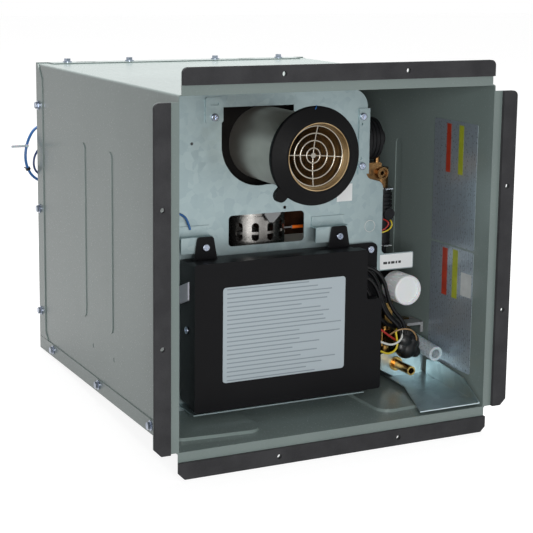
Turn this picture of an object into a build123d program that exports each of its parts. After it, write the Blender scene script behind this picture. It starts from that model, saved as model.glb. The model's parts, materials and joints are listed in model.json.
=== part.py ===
from build123d import *
import math
import os

# The origin is the centre of the casing's underside: X to the right, Y to the back, Z up.
# Depths are counted from the casing's mouth towards its back.

# Shares and small rules that serve the whole model
OVERRUN = 1.0
CORNER_SHARE = 0.45
SEAT = 0.3

# Casing
CASING_WIDTH = 320.0
CASING_HEIGHT = 312.0
CASING_DEPTH = 385.0
SHEET = 1.0
CASING_BEND = 2.5
FLANGE = 23.0
FLANGE_CORNER = 5.0
FLANGE_BEVEL = 6.0
FLANGE_TOP_GAP = 6.0
ROOF_FLANGE_INSET = 3.0
FLANGE_HOLE_R = 2.25
FLANGE_HOLE_INSET = 7.5
SIDE_HOLE_PITCH = 120.0
LEVEL_HOLE_PITCH = 125.0
FOAM_WIDTH = 15.0
FOAM_THICK = 3.5
BEAD_LENGTH = 176.0
BEAD_WIDTH = 14.0
BEAD_RISE = 0.8
BEAD_DEPTH = 165.0
BEAD_PITCH = 75.0
DIMPLE_R = 2.2
DIMPLE_SINK = 0.4
DIMPLE_DEPTH = 156.0
DIMPLE_PITCH = 58.0
DIMPLE_HEIGHT = 44.0

# Floor and back of the casing
LAP_HEIGHT = 13.5
LAP_GAP = 0.4
REAR_LAP = 19.0
REAR_LAP_STEP = 8.0
REAR_LAP_SLOPE = 13.0
REAR_LAP_RUN = 15.5
ROOF_LAP_INSET = 12.0
ROOF_SLOT_LENGTH = 22.5
ROOF_SLOT_WIDTH = 5.0
ROOF_SLOT_LEFT = -107.0
ROOF_SLOT_RIGHT = 85.5
PAD_RISE = 3.0
PAD_FRONT = 20.0
PAD_SLANT = 7.0
PAD_BACK_GAP = 15.0
PAD_SIDE_GAP = 6.0
PAD_WIDTH_LEFT = 88.0
PAD_WIDTH_RIGHT = 96.0
PAD_CORNER = 14.0
CASING_SCREW_R = 1.85
CASING_SCREW_HOLE_R = 2.0
CASING_SCREW_LENGTH = 5.0
WASHER_R = 4.8
WASHER_THICK = 1.0
HEX_R = 3.6
HEX_HEIGHT = 3.0
FLOOR_SCREW_HEIGHT = 8.0
FLOOR_SCREW_DEPTHS = (60.0, 198.0, 339.0)
REAR_SCREW_HEIGHTS = (43.0, 156.0, 268.0)
ROOF_SCREW_PLACES = (-128.0, -57.0, 46.0, 126.0)
REAR_SCREW_INSET = 6.5

# Mounting plate
PLATE_DEPTH = 100.0
PLATE_SHEET = 1.2
PLATE_TOP_GAP = 10.0
PLATE_RETURN = 15.0
PLATE_EDGE = 77.0
PLATE_CORNER = 18.0
PLATE_STEP_OUT = 19.5
PLATE_STEP_TOP = 214.5
PLATE_STEP_LOW = 209.0
PLATE_STEP_R = 7.5
PLATE_FOOT_EDGE = 87.0
ARM_TOP = 137.0
ARM_LOW = 120.0
ARM_END_GAP = 20.0
ARM_R = 2.0
ARM_FILLET = 5.0
WINDOW_LEFT = 41.4
WINDOW_WIDTH = 79.9
WINDOW_LOW = 157.5
WINDOW_TOP = 187.0
WINDOW_R = 4.0
FLUE_HOLE_R = 38.5
FLUE_NOTCH_R = 40.0
FLUE_NOTCH_SHIFT = 9.2
FLUE_NOTCH_LIFT = 1.0
FLUE_NOTCH_LEFT = 49.2
FLUE_NOTCH_RIGHT = 25.8
FLUE_NOTCH_TOP = 36.2
PLATE_HOLE_R = 1.6
PLATE_HOLE_DROP = 61.7
PLATE_HOLE_SHIFT = 17.5
STRIP_WIDTH = 12.0
STRIP_OVER = 2.0
STRIP_DROP = 83.0
STRIP_HEIGHT = 64.0
STRIP_SHEET = 1.5
STRIP_SCREW_INSET = 7.8
STRIP_HOLE_INSET = 15.2
STRIP_HOLE_R = 1.3
STRIP_LEG = 34.0
STRIP_LEG_HEIGHT = 40.0
NOTCH_BRACKET_WIDTH = 18.0
NOTCH_BRACKET_DROP = 27.0
NOTCH_BRACKET_HEIGHT = 24.0
NOTCH_BRACKET_SCREW = 5.4
NOTCH_BRACKET_SHIFT = -57.2
NOTCH_SLOT_LENGTH = 9.0
NOTCH_SLOT_WIDTH = 3.0
PAN_HEAD_R = 3.6
PAN_HEAD_HEIGHT = 2.2
PAN_CROWN = 0.8
PAN_SHANK_R = 1.6
PAN_SHANK = 6.0
CROSS_LENGTH = 3.8
CROSS_WIDTH = 0.9
CROSS_SINK = 1.0
STAMP_SCREW_LEFT = 14.4
STAMP_SCREW_HEIGHT = 143.5
STICKER_THICK = 0.15
STICKER_SIZE = 17.0
STICKER_LEFT = 32.5
STICKER_DROP = 109.0
ARM_STICKER_MARGIN = 1.0
ARM_STICKER_LENGTH = 38.0

# Control box
BOX_FRONT = 60.0
BOX_LEFT_GAP = 41.0
BOX_LOW = 13.0
BOX_TOP = 152.0
BOX_COLUMN_GAP = 27.8
BOX_NOTCH_WIDTH = 16.6
BOX_NOTCH_LOW = 103.0
BOX_CORNER = 2.5
BOX_WALL = 1.6
BOX_FIT = 0.2
COVER_DEPTH = 13.0
BOX_BACK_GAP = 1.5
BACK_PLATE_OUT = 16.0
BACK_PLATE_TOP_GAP = 2.0
BACK_PLATE_CORNER = 6.0
BACK_PLATE_THICK = 1.5
EAR_BOTTOM = 24.0
EAR_TOP = 16.0
EAR_HEIGHT = 21.0
EAR_THICK = 1.6
EAR_R = 3.0
EAR_SCREW_RISE = 11.0
EAR_LEFT_INSET = 23.2
EAR_RIGHT_INSET = 15.8
EAR_DEPTH = 88.4
CLIP_SHEET = 1.2
CLIP_WIDTH_LEFT = 32.0
CLIP_WIDTH_RIGHT = 36.0
CLIP_LOW = 156.0
CLIP_TOP = 171.0
CLIP_TAB = 9.0
CLIP_LEFT_SHIFT = 8.0
CLIP_RIGHT_SHIFT = 6.8
CABLE_WINDOW_LOW = 106.0
CABLE_WINDOW_TOP = 136.0
CABLE_WINDOW_FRONT = 76.0
CABLE_WINDOW_BACK = 92.0
SIDE_SCREW_DEPTH = 80.0
SIDE_SCREW_HEIGHT = 87.0
RATING_LEFT = 28.0
RATING_RIGHT = 41.0
RATING_LOW = 25.5
RATING_TOP = 23.5
RATING_CORNER = 3.0
RATING_THICK = 0.3
BOARD_MARGIN = 8.0
BOARD_THICK = 1.6
BOARD_DEPTH = 82.0
BOARD_POST_R = 3.0
BOARD_POST_INSET = 7.0
HEAT_SINK = (46.0, 11.0, 30.0)
RELAY = (16.0, 12.0, 20.0)
CAPACITOR_R = 6.0
CAPACITOR_LENGTH = 14.0
SLEEVE_THICK = 3.0
SLEEVE_TALL = 17.0
SLEEVE_DROP = 10.0
SLEEVE_TOP = 134.0
SHELF_SHEET = 1.2
SHELF_GAP = 2.0

# Flue, with its seal ring and guard
FLUE_X = -24.8
FLUE_DROP = 59.0
FLUE_R = 35.0
FLUE_WALL = 1.0
FLUE_FRONT = 10.0
FLUE_BACK = 114.0
FLUE_BEAD_RISE = 0.8
FLUE_BEAD_WIDTH = 2.0
RING_R = 44.4
RING_BORE_R = 30.6
RING_LIP_R = 32.6
RING_FRONT = 1.0
RING_RIM_FRONT = 8.0
RING_THICK = 5.0
RING_SLEEVE = 7.0
RING_SLEEVE_WALL = 3.0
RING_TAB_R = 6.0
RING_TAB_OUT = 3.0
RING_TAB_ANGLE = 225.0
RING_EDGE = 1.8
RING_LIP_EDGE = 0.8
LINER_R = 28.5
LINER_LIP_R = 30.4
LINER_WALL = 0.6
LINER_FRONT = 1.5
LINER_FLARE = 6.0
LINER_COLLAR = 8.0
LINER_PITCH = 5.0
LINER_RIB = 0.8
LINER_RIBS = 18
LINER_PAST = 4.0
GUARD_DEPTH = 8.3
GUARD_DISH = 4.7
GUARD_TURN = -4.0
GUARD_WIRE_R = 0.75
GUARD_SPOKE_R = 0.6
GUARD_GAP = 0.1
GUARD_RING_COUNT = 4
GUARD_HUB_R = 2.4
GUARD_HUB_THICK = 1.4

# Exhaust hood, heat exchanger and burner
HOOD_WALL = 1.0
HOOD_LEFT = 51.5
HOOD_RIGHT = 51.5
HOOD_TOP_GAP = 11.0
HOOD_FRONT_TALL = 95.0
HOOD_TALL = 49.0
CORE_LEFT = -125.0
CORE_RIGHT = 75.0
CORE_FRONT_SHARE = 0.56
CORE_BACK_GAP = 39.0
SHELL_LOW = 140.0
SHELL_WALL = 1.0
FIN_TALL = 50.0
FIN_THICK = 0.6
FIN_COUNT = 24
FIN_MARGIN = 5.0
FIN_FIT = 0.1
PIPE_R = 6.35
PIPE_WALL = 0.9
PIPE_HEIGHT_SHARE = 0.63
PIPE_ROW_COUNT = 4
PIPE_END_GAP = 20.0
PIPE_OUT = 13.0
PIPE_STUB = 5.0
PIPE_BEND_SHARE = 0.483
PIPE_CLEAR = 0.2
BURNER_LOW = 60.0
LEG_WIDTH = 16.0
BAR_COUNT = 8
BAR_WIDTH = 14.0
BAR_HEIGHT = 46.0
BAR_LOW = 64.0
BAR_EDGE = 3.0
BAR_SLOT_WIDTH = 1.4
BAR_SLOT_DEPTH = 6.0
BAR_SLOT_PITCH = 9.0
BAR_SLOTS = 12
MANIFOLD_GAP = 2.6
MANIFOLD_WIDE = 8.0
MANIFOLD_LOW = 70.0
MANIFOLD_TALL = 15.0
NOZZLE_R = 2.4
NOZZLE_HOLE_R = 2.8
ELECTRODE_R = 3.0
ELECTRODE_HOLE_R = 3.2
ELECTRODE_TIP_R = 0.8
ELECTRODE_OUT = 12.0
ELECTRODE_IN = 14.0
ELECTRODE_Z = 128.0
ELECTRODE_PITCH = 16.0
ELECTRODE_COUNT = 3
ELECTRODE_SHIFT = 135.0

# Blower and its motor
MOTOR_X = -25.0
MOTOR_DEPTH = 142.0
BLOWER_R = 37.5
BLOWER_WALL = 1.0
BLOWER_LOW = 95.0
BLOWER_TOP = 143.0
BLOWER_DUCT_WIDTH = 42.5
BLOWER_DUCT_DROP = 5.0
BLOWER_INLET_R = 24.0
BLOWER_LUG = 8.0
FAN_R = 34.0
FAN_LOW_GAP = 3.0
FAN_TOP_GAP = 4.0
FAN_BLADES = 24
FAN_BLADE_LENGTH = 9.0
FAN_BLADE_THICK = 1.0
FAN_DISC = 1.5
FAN_HUB_R = 6.0
SHAFT_R = 2.5
SHAFT_FIT = 0.05
CAN_R = 35.0
CAN_WALL = 1.0
CAN_TOP = 185.5
CAN_LID = 4.5
CAN_GROOVE_DROP = 3.2
CAN_GROOVE = 1.5
CAN_SLOT_COUNT = 14
CAN_SLOT_TURN = 23.5
CAN_SLOT_WIDTH = 7.0
CAN_SLOT_LOW = 16.0
CAN_SLOT_TALL = 17.6
STATOR_BORE = 20.0
STATOR_LOW = 8.0
STATOR_TALL = 7.0
STATOR_BAND_LOW = 22.0
STATOR_BAND_TALL = 2.6
STATOR_BAND_WIDE = 4.0
ROTOR_GAP = 0.6
TAB_LEFT = 2.4
TAB_WIDTH = 16.4
TAB_THICK = 3.0
TAB_TOP = 191.0
TAB_SHOULDER = 185.0
TAB_LOW = 177.5
TAB_TIP_LEFT = 5.0
TAB_TIP = 4.0
TAB_FINGER = 2.0
SENSE_PIN_R = 0.8
SENSE_PIN_GAP = 0.2
SENSE_PIN = 9.0
SENSE_ROD_R = 1.6
SENSE_ROD_LENGTH = 15.0
SENSE_ROD_Z = 164.7
SENSE_ROD_BACK = 8.0

# Right-hand water column
COLUMN_GAP = 37.0
COLUMN_DEPTH = 128.0
SENSOR_SHIFT = 7.0
FILTER_Z = 102.0
FILTER_R = 15.0
FILTER_FRONT = 106.0
FILTER_LENGTH = 44.0
FILTER_BORE = 11.0
FILTER_PORT_R = 8.0
FILTER_BACK_WALL = 4.0
CAP_R = 15.2
CAP_FRONT = 80.0
CAP_BODY = 25.7
CAP_EDGE = 2.0
CAP_RIBS = 20
CAP_RIB_R = 0.5
CAP_SINK = 1.2
CAP_SINK_R = 11.0
STRAINER_R = 8.0
STRAINER_WALL = 1.0
STRAINER_LENGTH = 32.0
STRAINER_HOLES = 10
STRAINER_HOLE_R = 1.2
STRAINER_ROW_COUNT = 4
STRAINER_STUB_R = 5.0
STRAINER_FIT = 0.3
SENSOR_LOW = 143.0
SENSOR_TOP_DROP = 11.0
SENSOR_R = 11.0
SENSOR_BORE = 7.0
SENSOR_RIB_RISE = 1.5
SENSOR_RIB_LOW = 176.0
SENSOR_RIB_PITCH = 4.0
SENSOR_RIBS = 5
SENSOR_RIB_THICK = 2.0
SENSOR_DOME_R = 6.0
SENSOR_DOME_Z = 173.5
SENSOR_DOME_SHIFT = 4.0
SENSOR_DOME_OUT = 2.0
SPIDER_THICK = 3.0
SPIDER_WIDTH = 2.0
SPIDER_HUB_R = 2.6
TURBINE_SHAFT_R = 1.0
TURBINE_HUB_R = 2.2
TURBINE_TIP_GAP = 0.4
TURBINE_BLADES = 6
TURBINE_BLADE_THICK = 0.9
TURBINE_LENGTH = 16.0
TURBINE_END_GAP = 2.0
HAIRPIN_R = 13.0
HAIRPIN_SHEET = 1.2
HAIRPIN_GAP = 0.2
HAIRPIN_TAIL = 7.0
HAIRPIN_TAIL_LEFT = 3.5
HAIRPIN_TAIL_RIGHT = 5.5
ELBOW_NECK = 4.0
ELBOW_TALL = 23.0
ELBOW_CAP = 6.0
ELBOW_LEFT = 26.0
ELBOW_RIGHT_GAP = 4.0
ELBOW_FRONT = 8.5
ELBOW_SET_BACK = 2.0
ELBOW_BACK = 10.0
ELBOW_EDGE = 1.5
ELBOW_PORT_R = 6.2
ELBOW_PORT_OUT = 2.5
ELBOW_PORT_RISE = 12.1
ELBOW_PORT_SHIFT = 3.4
ELBOW_PORT_BORE = 4.6
ELBOW_PORT_SINK = 2.0
ELBOW_PORT_HOLE = 2.0
ELBOW_TIP_SHIFT = 8.0
ELBOW_TIP_R = 3.0
ELBOW_TIP = 7.0
OUTLET_SHIFT = 21.0

# Drain, relief valve and tray
DRAIN_SHIFT = 5.5
DRAIN_DEPTH = 115.0
DRAIN_R = 6.5
DRAIN_HEX_R = 8.6
DRAIN_HEX_LOW = 60.0
DRAIN_HEX_TOP = 84.0
TEE_WIDTH = 17.0
TEE_FRONT = 107.0
TEE_BACK = 136.0
TEE_LOW = 40.0
TEE_TALL = 16.0
TEE_EDGE = 2.0
DRAIN_FOOT_LOW = 13.0
DRAIN_FOOT_TALL = 18.0
NIPPLE_SHIFT = 4.9
NIPPLE_Z = 22.4
NIPPLE_FRONT = 70.0
NIPPLE_R = 4.6
NIPPLE_FLANGE_R = 7.2
NIPPLE_FLANGE = 2.0
NIPPLE_BORE = 3.1
NIPPLE_FIT = 0.1
RELIEF_X_GAP = 12.0
RELIEF_Z = 45.0
RELIEF_R = 8.0
RELIEF_FRONT = 122.0
RELIEF_LENGTH = 38.0
RELIEF_SPIGOT_R = 5.0
RELIEF_NOSE_R = 3.9
RELIEF_NOSE = 12.0
RELIEF_BOSS = (8.0, 8.0, 8.5)
LEVER_WIDTH = 19.0
LEVER_SHEET = 1.4
LEVER_REACH = 22.0
LEVER_TAIL = 3.0
LEVER_TALL = 6.0
LEVER_HOOK = 3.0
LEVER_HOOK_DROP = 4.5
LEVER_PIVOT_RISE = 13.0
LEVER_PIN_R = 1.5
LEVER_FIT = 0.05
LEVER_TOP_GAP = 7.0
TUBE_R = 7.5
TUBE_BORE = 4.6
TUBE_BACK_DROP = 1.6
TUBE_FRONT_DEPTH = 65.0
TUBE_FRONT_DROP = 6.7
TUBE_FRONT_SHIFT = 0.6
TUBE_START = 1.0
TRAY_SHEET = 1.0
TRAY_FRONT = 1.0
TRAY_RISE = 4.5
TRAY_LEFT_GAP = 70.5
TRAY_SIDE_GAP = 3.0
TRAY_NOTCH_GAP = 46.5
TRAY_NOTCH_DEPTH = 68.0
TRAY_BACK = 18.0
TRAY_EDGE_HEIGHTS = (1.5, 17.1, 20.2, 15.7)
TRAY_EDGE_DEPTHS = (1.0, 28.7, 74.0, 94.7)
TRAY_PLATE_LEFT_GAP = 55.0
TRAY_PLATE_RIGHT_GAP = 4.5
TRAY_PLATE_TOP = 34.0
TRAY_PLATE_BEVEL = 17.0
TRAY_PLATE_RISE = 9.0

# Label film on the right wall
FILM_THICK = 0.3
FILM_FRONT = 24.0
FILM_BACK = 98.0
FILM_LOW = 26.0
FILM_TALLS = (121.0, 122.5)
FILM_PARTING = 2.0
FILM_CORNER = 2.0

# Gas line
VALVE_LEFT_GAP = 9.0
VALVE_WIDTH = 46.0
VALVE_AHEAD = 5.0
VALVE_LONG = 50.0
VALVE_LOW = 40.0
VALVE_TALL = 50.0
VALVE_EDGE = 3.0
VALVE_FOOT = 1.2
VALVE_FOOT_INSET = 4.0
SOLENOID_SHIFT = 12.0
SOLENOID_R = 11.0
SOLENOID_TALL = 32.0
SOLENOID_BORE = 4.0
SOLENOID_CAP = 4.0
PLUNGER_LENGTH = 22.0
PLUNGER_TRAVEL = 3.0
PLUNGER_LOW = 3.0
PLUNGER_FIT = 0.05
GAS_SHIFT = 21.0
GAS_Z = 55.0
HOT_SHIFT = 55.0
HOT_BEND = 12.0
FITTING_HEX_R = 13.5
FITTING_NUT = 7.0
FITTING_FLANGE = 6.0
FITTING_THREAD_R = 10.5
FITTING_THREAD = 14.0
FITTING_HOLE_FIT = 0.3
FITTING_SEAT = 8.0
FITTING_BORE_FIT = 0.05

# Air pressure switch
SWITCH_DEPTH = 125.0
SWITCH_DROP = 52.0
SWITCH_DISC_R = 27.0
SWITCH_DISC = 3.5
SWITCH_BODY_R = 21.0
SWITCH_BODY = 16.0
SWITCH_NOSE_R = 9.0
SWITCH_NOSE = 9.0
SWITCH_GROOVE = 1.0
SWITCH_GROOVE_COUNT = 3
SWITCH_PORT_R = 2.5
SWITCH_PORT = 12.0

# Cables inside the mouth
CABLE_R = 2.0
WIRE_R = 0.9
BUNDLE_R = 12.0
BUNDLE_LOW = 31.0
BUNDLE_TOP = 57.0
BUNDLE_BULGE = 1.0
BUNDLE_EDGE = 3.0
BUNDLE_X = 124.5
BUNDLE_DEPTH = 86.0
CABLE_ROUTES = (
    ((58.0, 79.0, 131.0), (70.0, 78.5, 131.5), (82.0, 78.0, 127.0), (91.0, 78.0, 117.0), (96.0, 79.5, 105.0),
     (100.5, 81.5, 93.0), (107.0, 82.0, 82.0), (115.0, 81.5, 74.0), (119.5, 81.0, 65.0), (120.0, 81.0, 57.0)),
    ((58.0, 86.0, 131.0), (70.0, 86.5, 130.0), (82.0, 86.0, 123.5), (89.5, 86.5, 113.0), (94.0, 87.0, 101.0),
     (98.0, 87.5, 89.0), (104.0, 87.5, 78.0), (112.0, 87.0, 70.0), (118.0, 86.5, 63.5), (119.0, 86.5, 57.0)),
    ((58.0, 79.5, 121.0), (68.0, 79.0, 121.5), (77.0, 78.5, 117.5), (84.5, 79.0, 108.0), (89.0, 80.0, 97.0),
     (94.0, 81.0, 86.0), (101.0, 81.5, 76.5), (109.0, 80.5, 69.5), (114.5, 80.5, 62.0), (115.0, 81.0, 54.0)),
    ((58.0, 87.0, 114.0), (67.0, 87.5, 114.0), (76.0, 88.0, 109.0), (82.0, 88.0, 99.0), (87.0, 88.5, 88.0),
     (93.0, 89.0, 77.5), (101.0, 90.5, 69.0), (110.0, 91.5, 64.5), (119.5, 91.5, 64.0), (122.0, 91.5, 57.0)),
)
WIRE_ROUTES = (
    ((116.0, 80.0, 46.0), (108.0, 77.5, 51.0), (99.0, 76.0, 52.0), (91.5, 78.0, 46.0), (86.0, 81.5, 38.0),
     (78.0, 83.0, 35.0)),
    ((115.0, 83.0, 41.0), (107.0, 80.5, 44.5), (98.5, 79.5, 45.0), (91.5, 82.0, 39.0), (86.0, 86.0, 31.5),
     (78.0, 87.0, 29.0)),
    ((114.0, 86.0, 50.0), (106.0, 84.5, 58.0), (97.0, 84.0, 59.5), (89.5, 86.0, 53.0), (85.0, 88.5, 44.5),
     (78.0, 89.5, 41.0)),
)

# Free leads at the back
LEAD_R = 1.5
LEAD_THIN_R = 1.2
GROMMET_R = 13.0
GROMMET_NECK_R = 10.5
GROMMET_LIP = 3.0
GROMMET_FIT = 0.2
LEAD_OUTER_ROUTE = (
    (-125.0, 3.0, 236.0), (-125.0, 14.0, 236.0), (-133.5, 23.0, 239.5), (-147.0, 23.0, 243.5),
    (-159.0, 17.0, 240.0), (-167.0, 13.0, 229.0), (-171.0, 11.0, 216.0), (-170.5, 11.5, 203.0),
    (-165.0, 13.0, 191.0), (-155.0, 18.0, 183.0), (-143.0, 23.0, 179.0), (-132.0, 22.0, 177.0),
    (-125.0, 13.5, 176.0), (-125.0, 3.0, 176.0),
)
LEAD_INNER_ROUTE = (
    (-118.0, 3.0, 226.0), (-118.0, 13.0, 226.0), (-125.5, 21.0, 227.0), (-138.0, 22.0, 224.5),
    (-150.0, 17.0, 221.5), (-159.0, 12.5, 214.0), (-162.5, 10.5, 204.0), (-160.0, 11.5, 194.0),
    (-151.0, 16.0, 188.5), (-139.5, 20.5, 186.5), (-127.5, 21.0, 187.0), (-118.0, 14.0, 186.0),
    (-118.0, 3.0, 186.0),
)
TIE_FIT = 0.2
TIE_WALL = 1.0
TIE_WIDE = 2.6
TIE_TAIL = 9.0
TAG_LENGTH = 15.0
TAG_THICK = 0.5

# Places that follow from the sizes above
HALF = CASING_WIDTH / 2
INNER = HALF - SHEET
ROOF_INNER = CASING_HEIGHT - SHEET
BACK = CASING_DEPTH - SHEET
FLANGE_TIP = HALF + FLANGE
HOLE_HEIGHT = CASING_HEIGHT / 2
PAD_TOP = SHEET + PAD_RISE
PLATE_BACK = PLATE_DEPTH + PLATE_SHEET
PLATE_TOP = CASING_HEIGHT - PLATE_TOP_GAP
PLATE_RIGHT = INNER - PLATE_EDGE
PLATE_STEP_RIGHT = PLATE_RIGHT + PLATE_STEP_OUT
PLATE_FOOT_RIGHT = INNER - PLATE_FOOT_EDGE
ARM_END = INNER - ARM_END_GAP
COLUMN_X = INNER - COLUMN_GAP
SENSOR_X = COLUMN_X - SENSOR_SHIFT
FLUE_Z = CASING_HEIGHT - FLUE_DROP
STRIP_LOW = PLATE_TOP - STRIP_DROP
NOTCH_BRACKET_LOW = PLATE_TOP - NOTCH_BRACKET_DROP
STICKER_LOW = PLATE_TOP - STICKER_DROP
SWITCH_Z = PLATE_TOP - SWITCH_DROP
BOX_LEFT = BOX_LEFT_GAP - INNER
BOX_RIGHT = COLUMN_X - CAP_R - BOX_COLUMN_GAP
BOX_NOTCH = BOX_RIGHT - BOX_NOTCH_WIDTH
TRAY_INSET = BOX_WALL + BOX_FIT
BOX_BACK = PLATE_DEPTH - BOX_BACK_GAP
EAR_LEFT_X = BOX_LEFT + EAR_LEFT_INSET
EAR_RIGHT_X = BOX_NOTCH - EAR_RIGHT_INSET
EAR_SCREW_Z = BOX_TOP - TRAY_INSET + EAR_SCREW_RISE
SHELF_TOP = BOX_LOW - SHELF_GAP
CORE_FRONT = CASING_DEPTH * CORE_FRONT_SHARE
CORE_BACK = BACK - CORE_BACK_GAP
HOOD_TOP = ROOF_INNER - HOOD_TOP_GAP
HOOD_LOW = HOOD_TOP - HOOD_FRONT_TALL
SHELL_TOP = HOOD_TOP - HOOD_TALL
PIPE_Z = SHELL_LOW + (SHELL_TOP - SHELL_LOW) * PIPE_HEIGHT_SHARE
PIPE_ROW = (CORE_BACK - CORE_FRONT - 2 * PIPE_END_GAP) / (PIPE_ROW_COUNT - 1)
PIPE_BEND = PIPE_ROW * PIPE_BEND_SHARE
FIN_LOW = PIPE_Z - FIN_TALL / 2
FIN_TOP = PIPE_Z + FIN_TALL / 2
BURNER_TOP = SHELL_LOW
MANIFOLD_DEPTH = CORE_FRONT - MANIFOLD_GAP - MANIFOLD_WIDE
BLOWER_DUCT_TOP = BLOWER_TOP - BLOWER_DUCT_DROP
SENSOR_TOP = PIPE_Z - SENSOR_TOP_DROP
ELBOW_LOW = SENSOR_TOP + ELBOW_NECK
ELBOW_TOP = ELBOW_LOW + ELBOW_TALL
CAP_BACK = CAP_FRONT + CAP_BODY
DRAIN_X = COLUMN_X - DRAIN_SHIFT
NIPPLE_X = DRAIN_X + NIPPLE_SHIFT
RELIEF_X = INNER - RELIEF_X_GAP
VALVE_LEFT = CORE_RIGHT + VALVE_LEFT_GAP
VALVE_FRONT = MANIFOLD_DEPTH - VALVE_AHEAD
VALVE_TOP = VALVE_LOW + VALVE_TALL
GAS_X = VALVE_LEFT + GAS_SHIFT
SOLENOID_X = VALVE_LEFT + SOLENOID_SHIFT
SOLENOID_DEPTH = VALVE_FRONT + VALVE_LONG / 2
HOT_X = INNER - HOT_SHIFT
OUTLET_X = COLUMN_X - OUTLET_SHIFT
REAR_SCREW_DEPTH = CASING_DEPTH - REAR_SCREW_INSET
REAR_LAP_FRONT = CASING_DEPTH - REAR_LAP
STRIP_RIGHT = PLATE_RIGHT + STRIP_OVER
STRIP_FRONT = PLATE_DEPTH - STRIP_SHEET
GROMMET_PLACES = tuple(
    ((outer[0] + inner[0]) / 2, (outer[2] + inner[2]) / 2)
    for outer, inner in (
        (LEAD_OUTER_ROUTE[0], LEAD_INNER_ROUTE[0]),
        (LEAD_OUTER_ROUTE[-1], LEAD_INNER_ROUTE[-1]),
    )
)

# Directions and alignments
LEFT = (-1, 0, 0)
RIGHT = (1, 0, 0)
FRONT = (0, -1, 0)
REAR = (0, 1, 0)
UP = (0, 0, 1)
BASE = (Align.CENTER, Align.CENTER, Align.MIN)


# Shapes that several pieces use
def y_at(depth):
    return depth - CASING_DEPTH / 2


def front_sheet(outline, depth, thickness):
    plane = Plane(origin=(0, y_at(depth), 0), x_dir=(1, 0, 0), z_dir=(0, -1, 0))
    return extrude(plane * outline, amount=thickness, dir=(0, 1, 0))


def side_sheet(outline, x, thickness):
    plane = Plane(origin=(x, y_at(0), 0), x_dir=(0, 1, 0), z_dir=(1, 0, 0))
    return extrude(plane * outline, amount=thickness, dir=(1, 0, 0))


def floor_sheet(outline, z, thickness):
    plane = Plane(origin=(0, y_at(0), z), x_dir=(1, 0, 0), z_dir=(0, 0, 1))
    return extrude(plane * outline, amount=thickness, dir=(0, 0, 1))


def block(x0, x1, depth0, depth1, z0, z1):
    centre = ((x0 + x1) / 2, y_at((depth0 + depth1) / 2), (z0 + z1) / 2)
    return Pos(*centre) * Box(x1 - x0, depth1 - depth0, z1 - z0)


def place(x, depth, z, direction):
    return Plane(origin=(x, y_at(depth), z), z_dir=direction).location


def rod(x, depth, z, direction, length, radius):
    return place(x, depth, z, direction) * Cylinder(radius, length, align=BASE)


def sleeve(x, depth, z, direction, length, outer, inner):
    return rod(x, depth, z, direction, length, outer) - rod(x, depth, z, direction, length, inner)


def hexagon(x, depth, z, direction, length, radius):
    outline = RegularPolygon(radius, 6)
    return place(x, depth, z, direction) * extrude(outline, amount=length)


def rounded(points, radii):
    outline = Sketch() + make_face(Polyline(*points, close=True))
    for point, radius in zip(points, radii):
        if radius > 0:
            corner = outline.vertices().sort_by_distance(Vector(*point))[0]
            outline = fillet(corner, radius)
    return outline


def rectangle(x0, x1, z0, z1, radius):
    points = [(x0, z0), (x1, z0), (x1, z1), (x0, z1)]
    return rounded(points, [radius] * len(points))


def both_sides(shape):
    return shape + mirror(shape, about=Plane.YZ)


def turned(profile, x, z):
    plane = Plane(origin=(x, y_at(0), z), x_dir=(1, 0, 0), z_dir=(0, 0, 1))
    return revolve(plane * profile, axis=Axis(origin=(x, y_at(0), z), direction=REAR))


def group(pieces):
    return Compound([solid for piece in pieces for solid in piece.solids()])


def corner_radii(points):
    radii = []
    for before, here, after in zip(points, points[1:], points[2:]):
        first = Vector(*here) - Vector(*before)
        second = Vector(*after) - Vector(*here)
        half_turn = math.radians(first.get_angle(second)) / 2
        shorter = min(first.length, second.length)
        radii.append(CORNER_SHARE * shorter / math.tan(half_turn))
    return radii


def tube(route, outer, inner, radii):
    points = [(x, y_at(depth), z) for x, depth, z in route]
    path = FilletPolyline(*points, radius=radii)
    start = Plane(origin=path @ 0, z_dir=path % 0)
    section = Circle(outer)
    if inner > 0:
        section = section - Circle(inner)
    return sweep(start * section, path=path), path.length


def cord(name, route, radius):
    points = [(x, y_at(depth), z) for x, depth, z in route]
    radii = corner_radii(points)
    solid, length = tube(route, radius, 0, radii)
    ratio = solid.volume / (math.pi * radius**2 * length)
    shown = [round(bend, 1) for bend in radii]
    print(name, "length", round(length, 1), "volume ratio", round(ratio, 4), "radii", shown)
    return solid


def pan_screw(x, depth, z, direction):
    head = Cylinder(PAN_HEAD_R, PAN_HEAD_HEIGHT, align=BASE)
    head = fillet(head.edges().sort_by(Axis.Z)[-1], PAN_CROWN)
    slot = Box(CROSS_LENGTH, CROSS_WIDTH, CROSS_SINK + OVERRUN, align=BASE)
    cross = slot + Rot(0, 0, 90) * slot
    head = head - Pos(0, 0, PAN_HEAD_HEIGHT - CROSS_SINK) * cross
    shank = Pos(0, 0, -PAN_SHANK) * Cylinder(PAN_SHANK_R, PAN_SHANK, align=BASE)
    return place(x, depth, z, direction) * (head + shank)


def hex_screw(x, depth, z, direction):
    washer = Cylinder(WASHER_R, WASHER_THICK, align=BASE)
    head = Pos(0, 0, WASHER_THICK) * extrude(RegularPolygon(HEX_R, 6), amount=HEX_HEIGHT)
    shank = Pos(0, 0, -CASING_SCREW_LENGTH) * Cylinder(CASING_SCREW_R, CASING_SCREW_LENGTH, align=BASE)
    return place(x, depth, z, direction) * (washer + head + shank)


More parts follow.
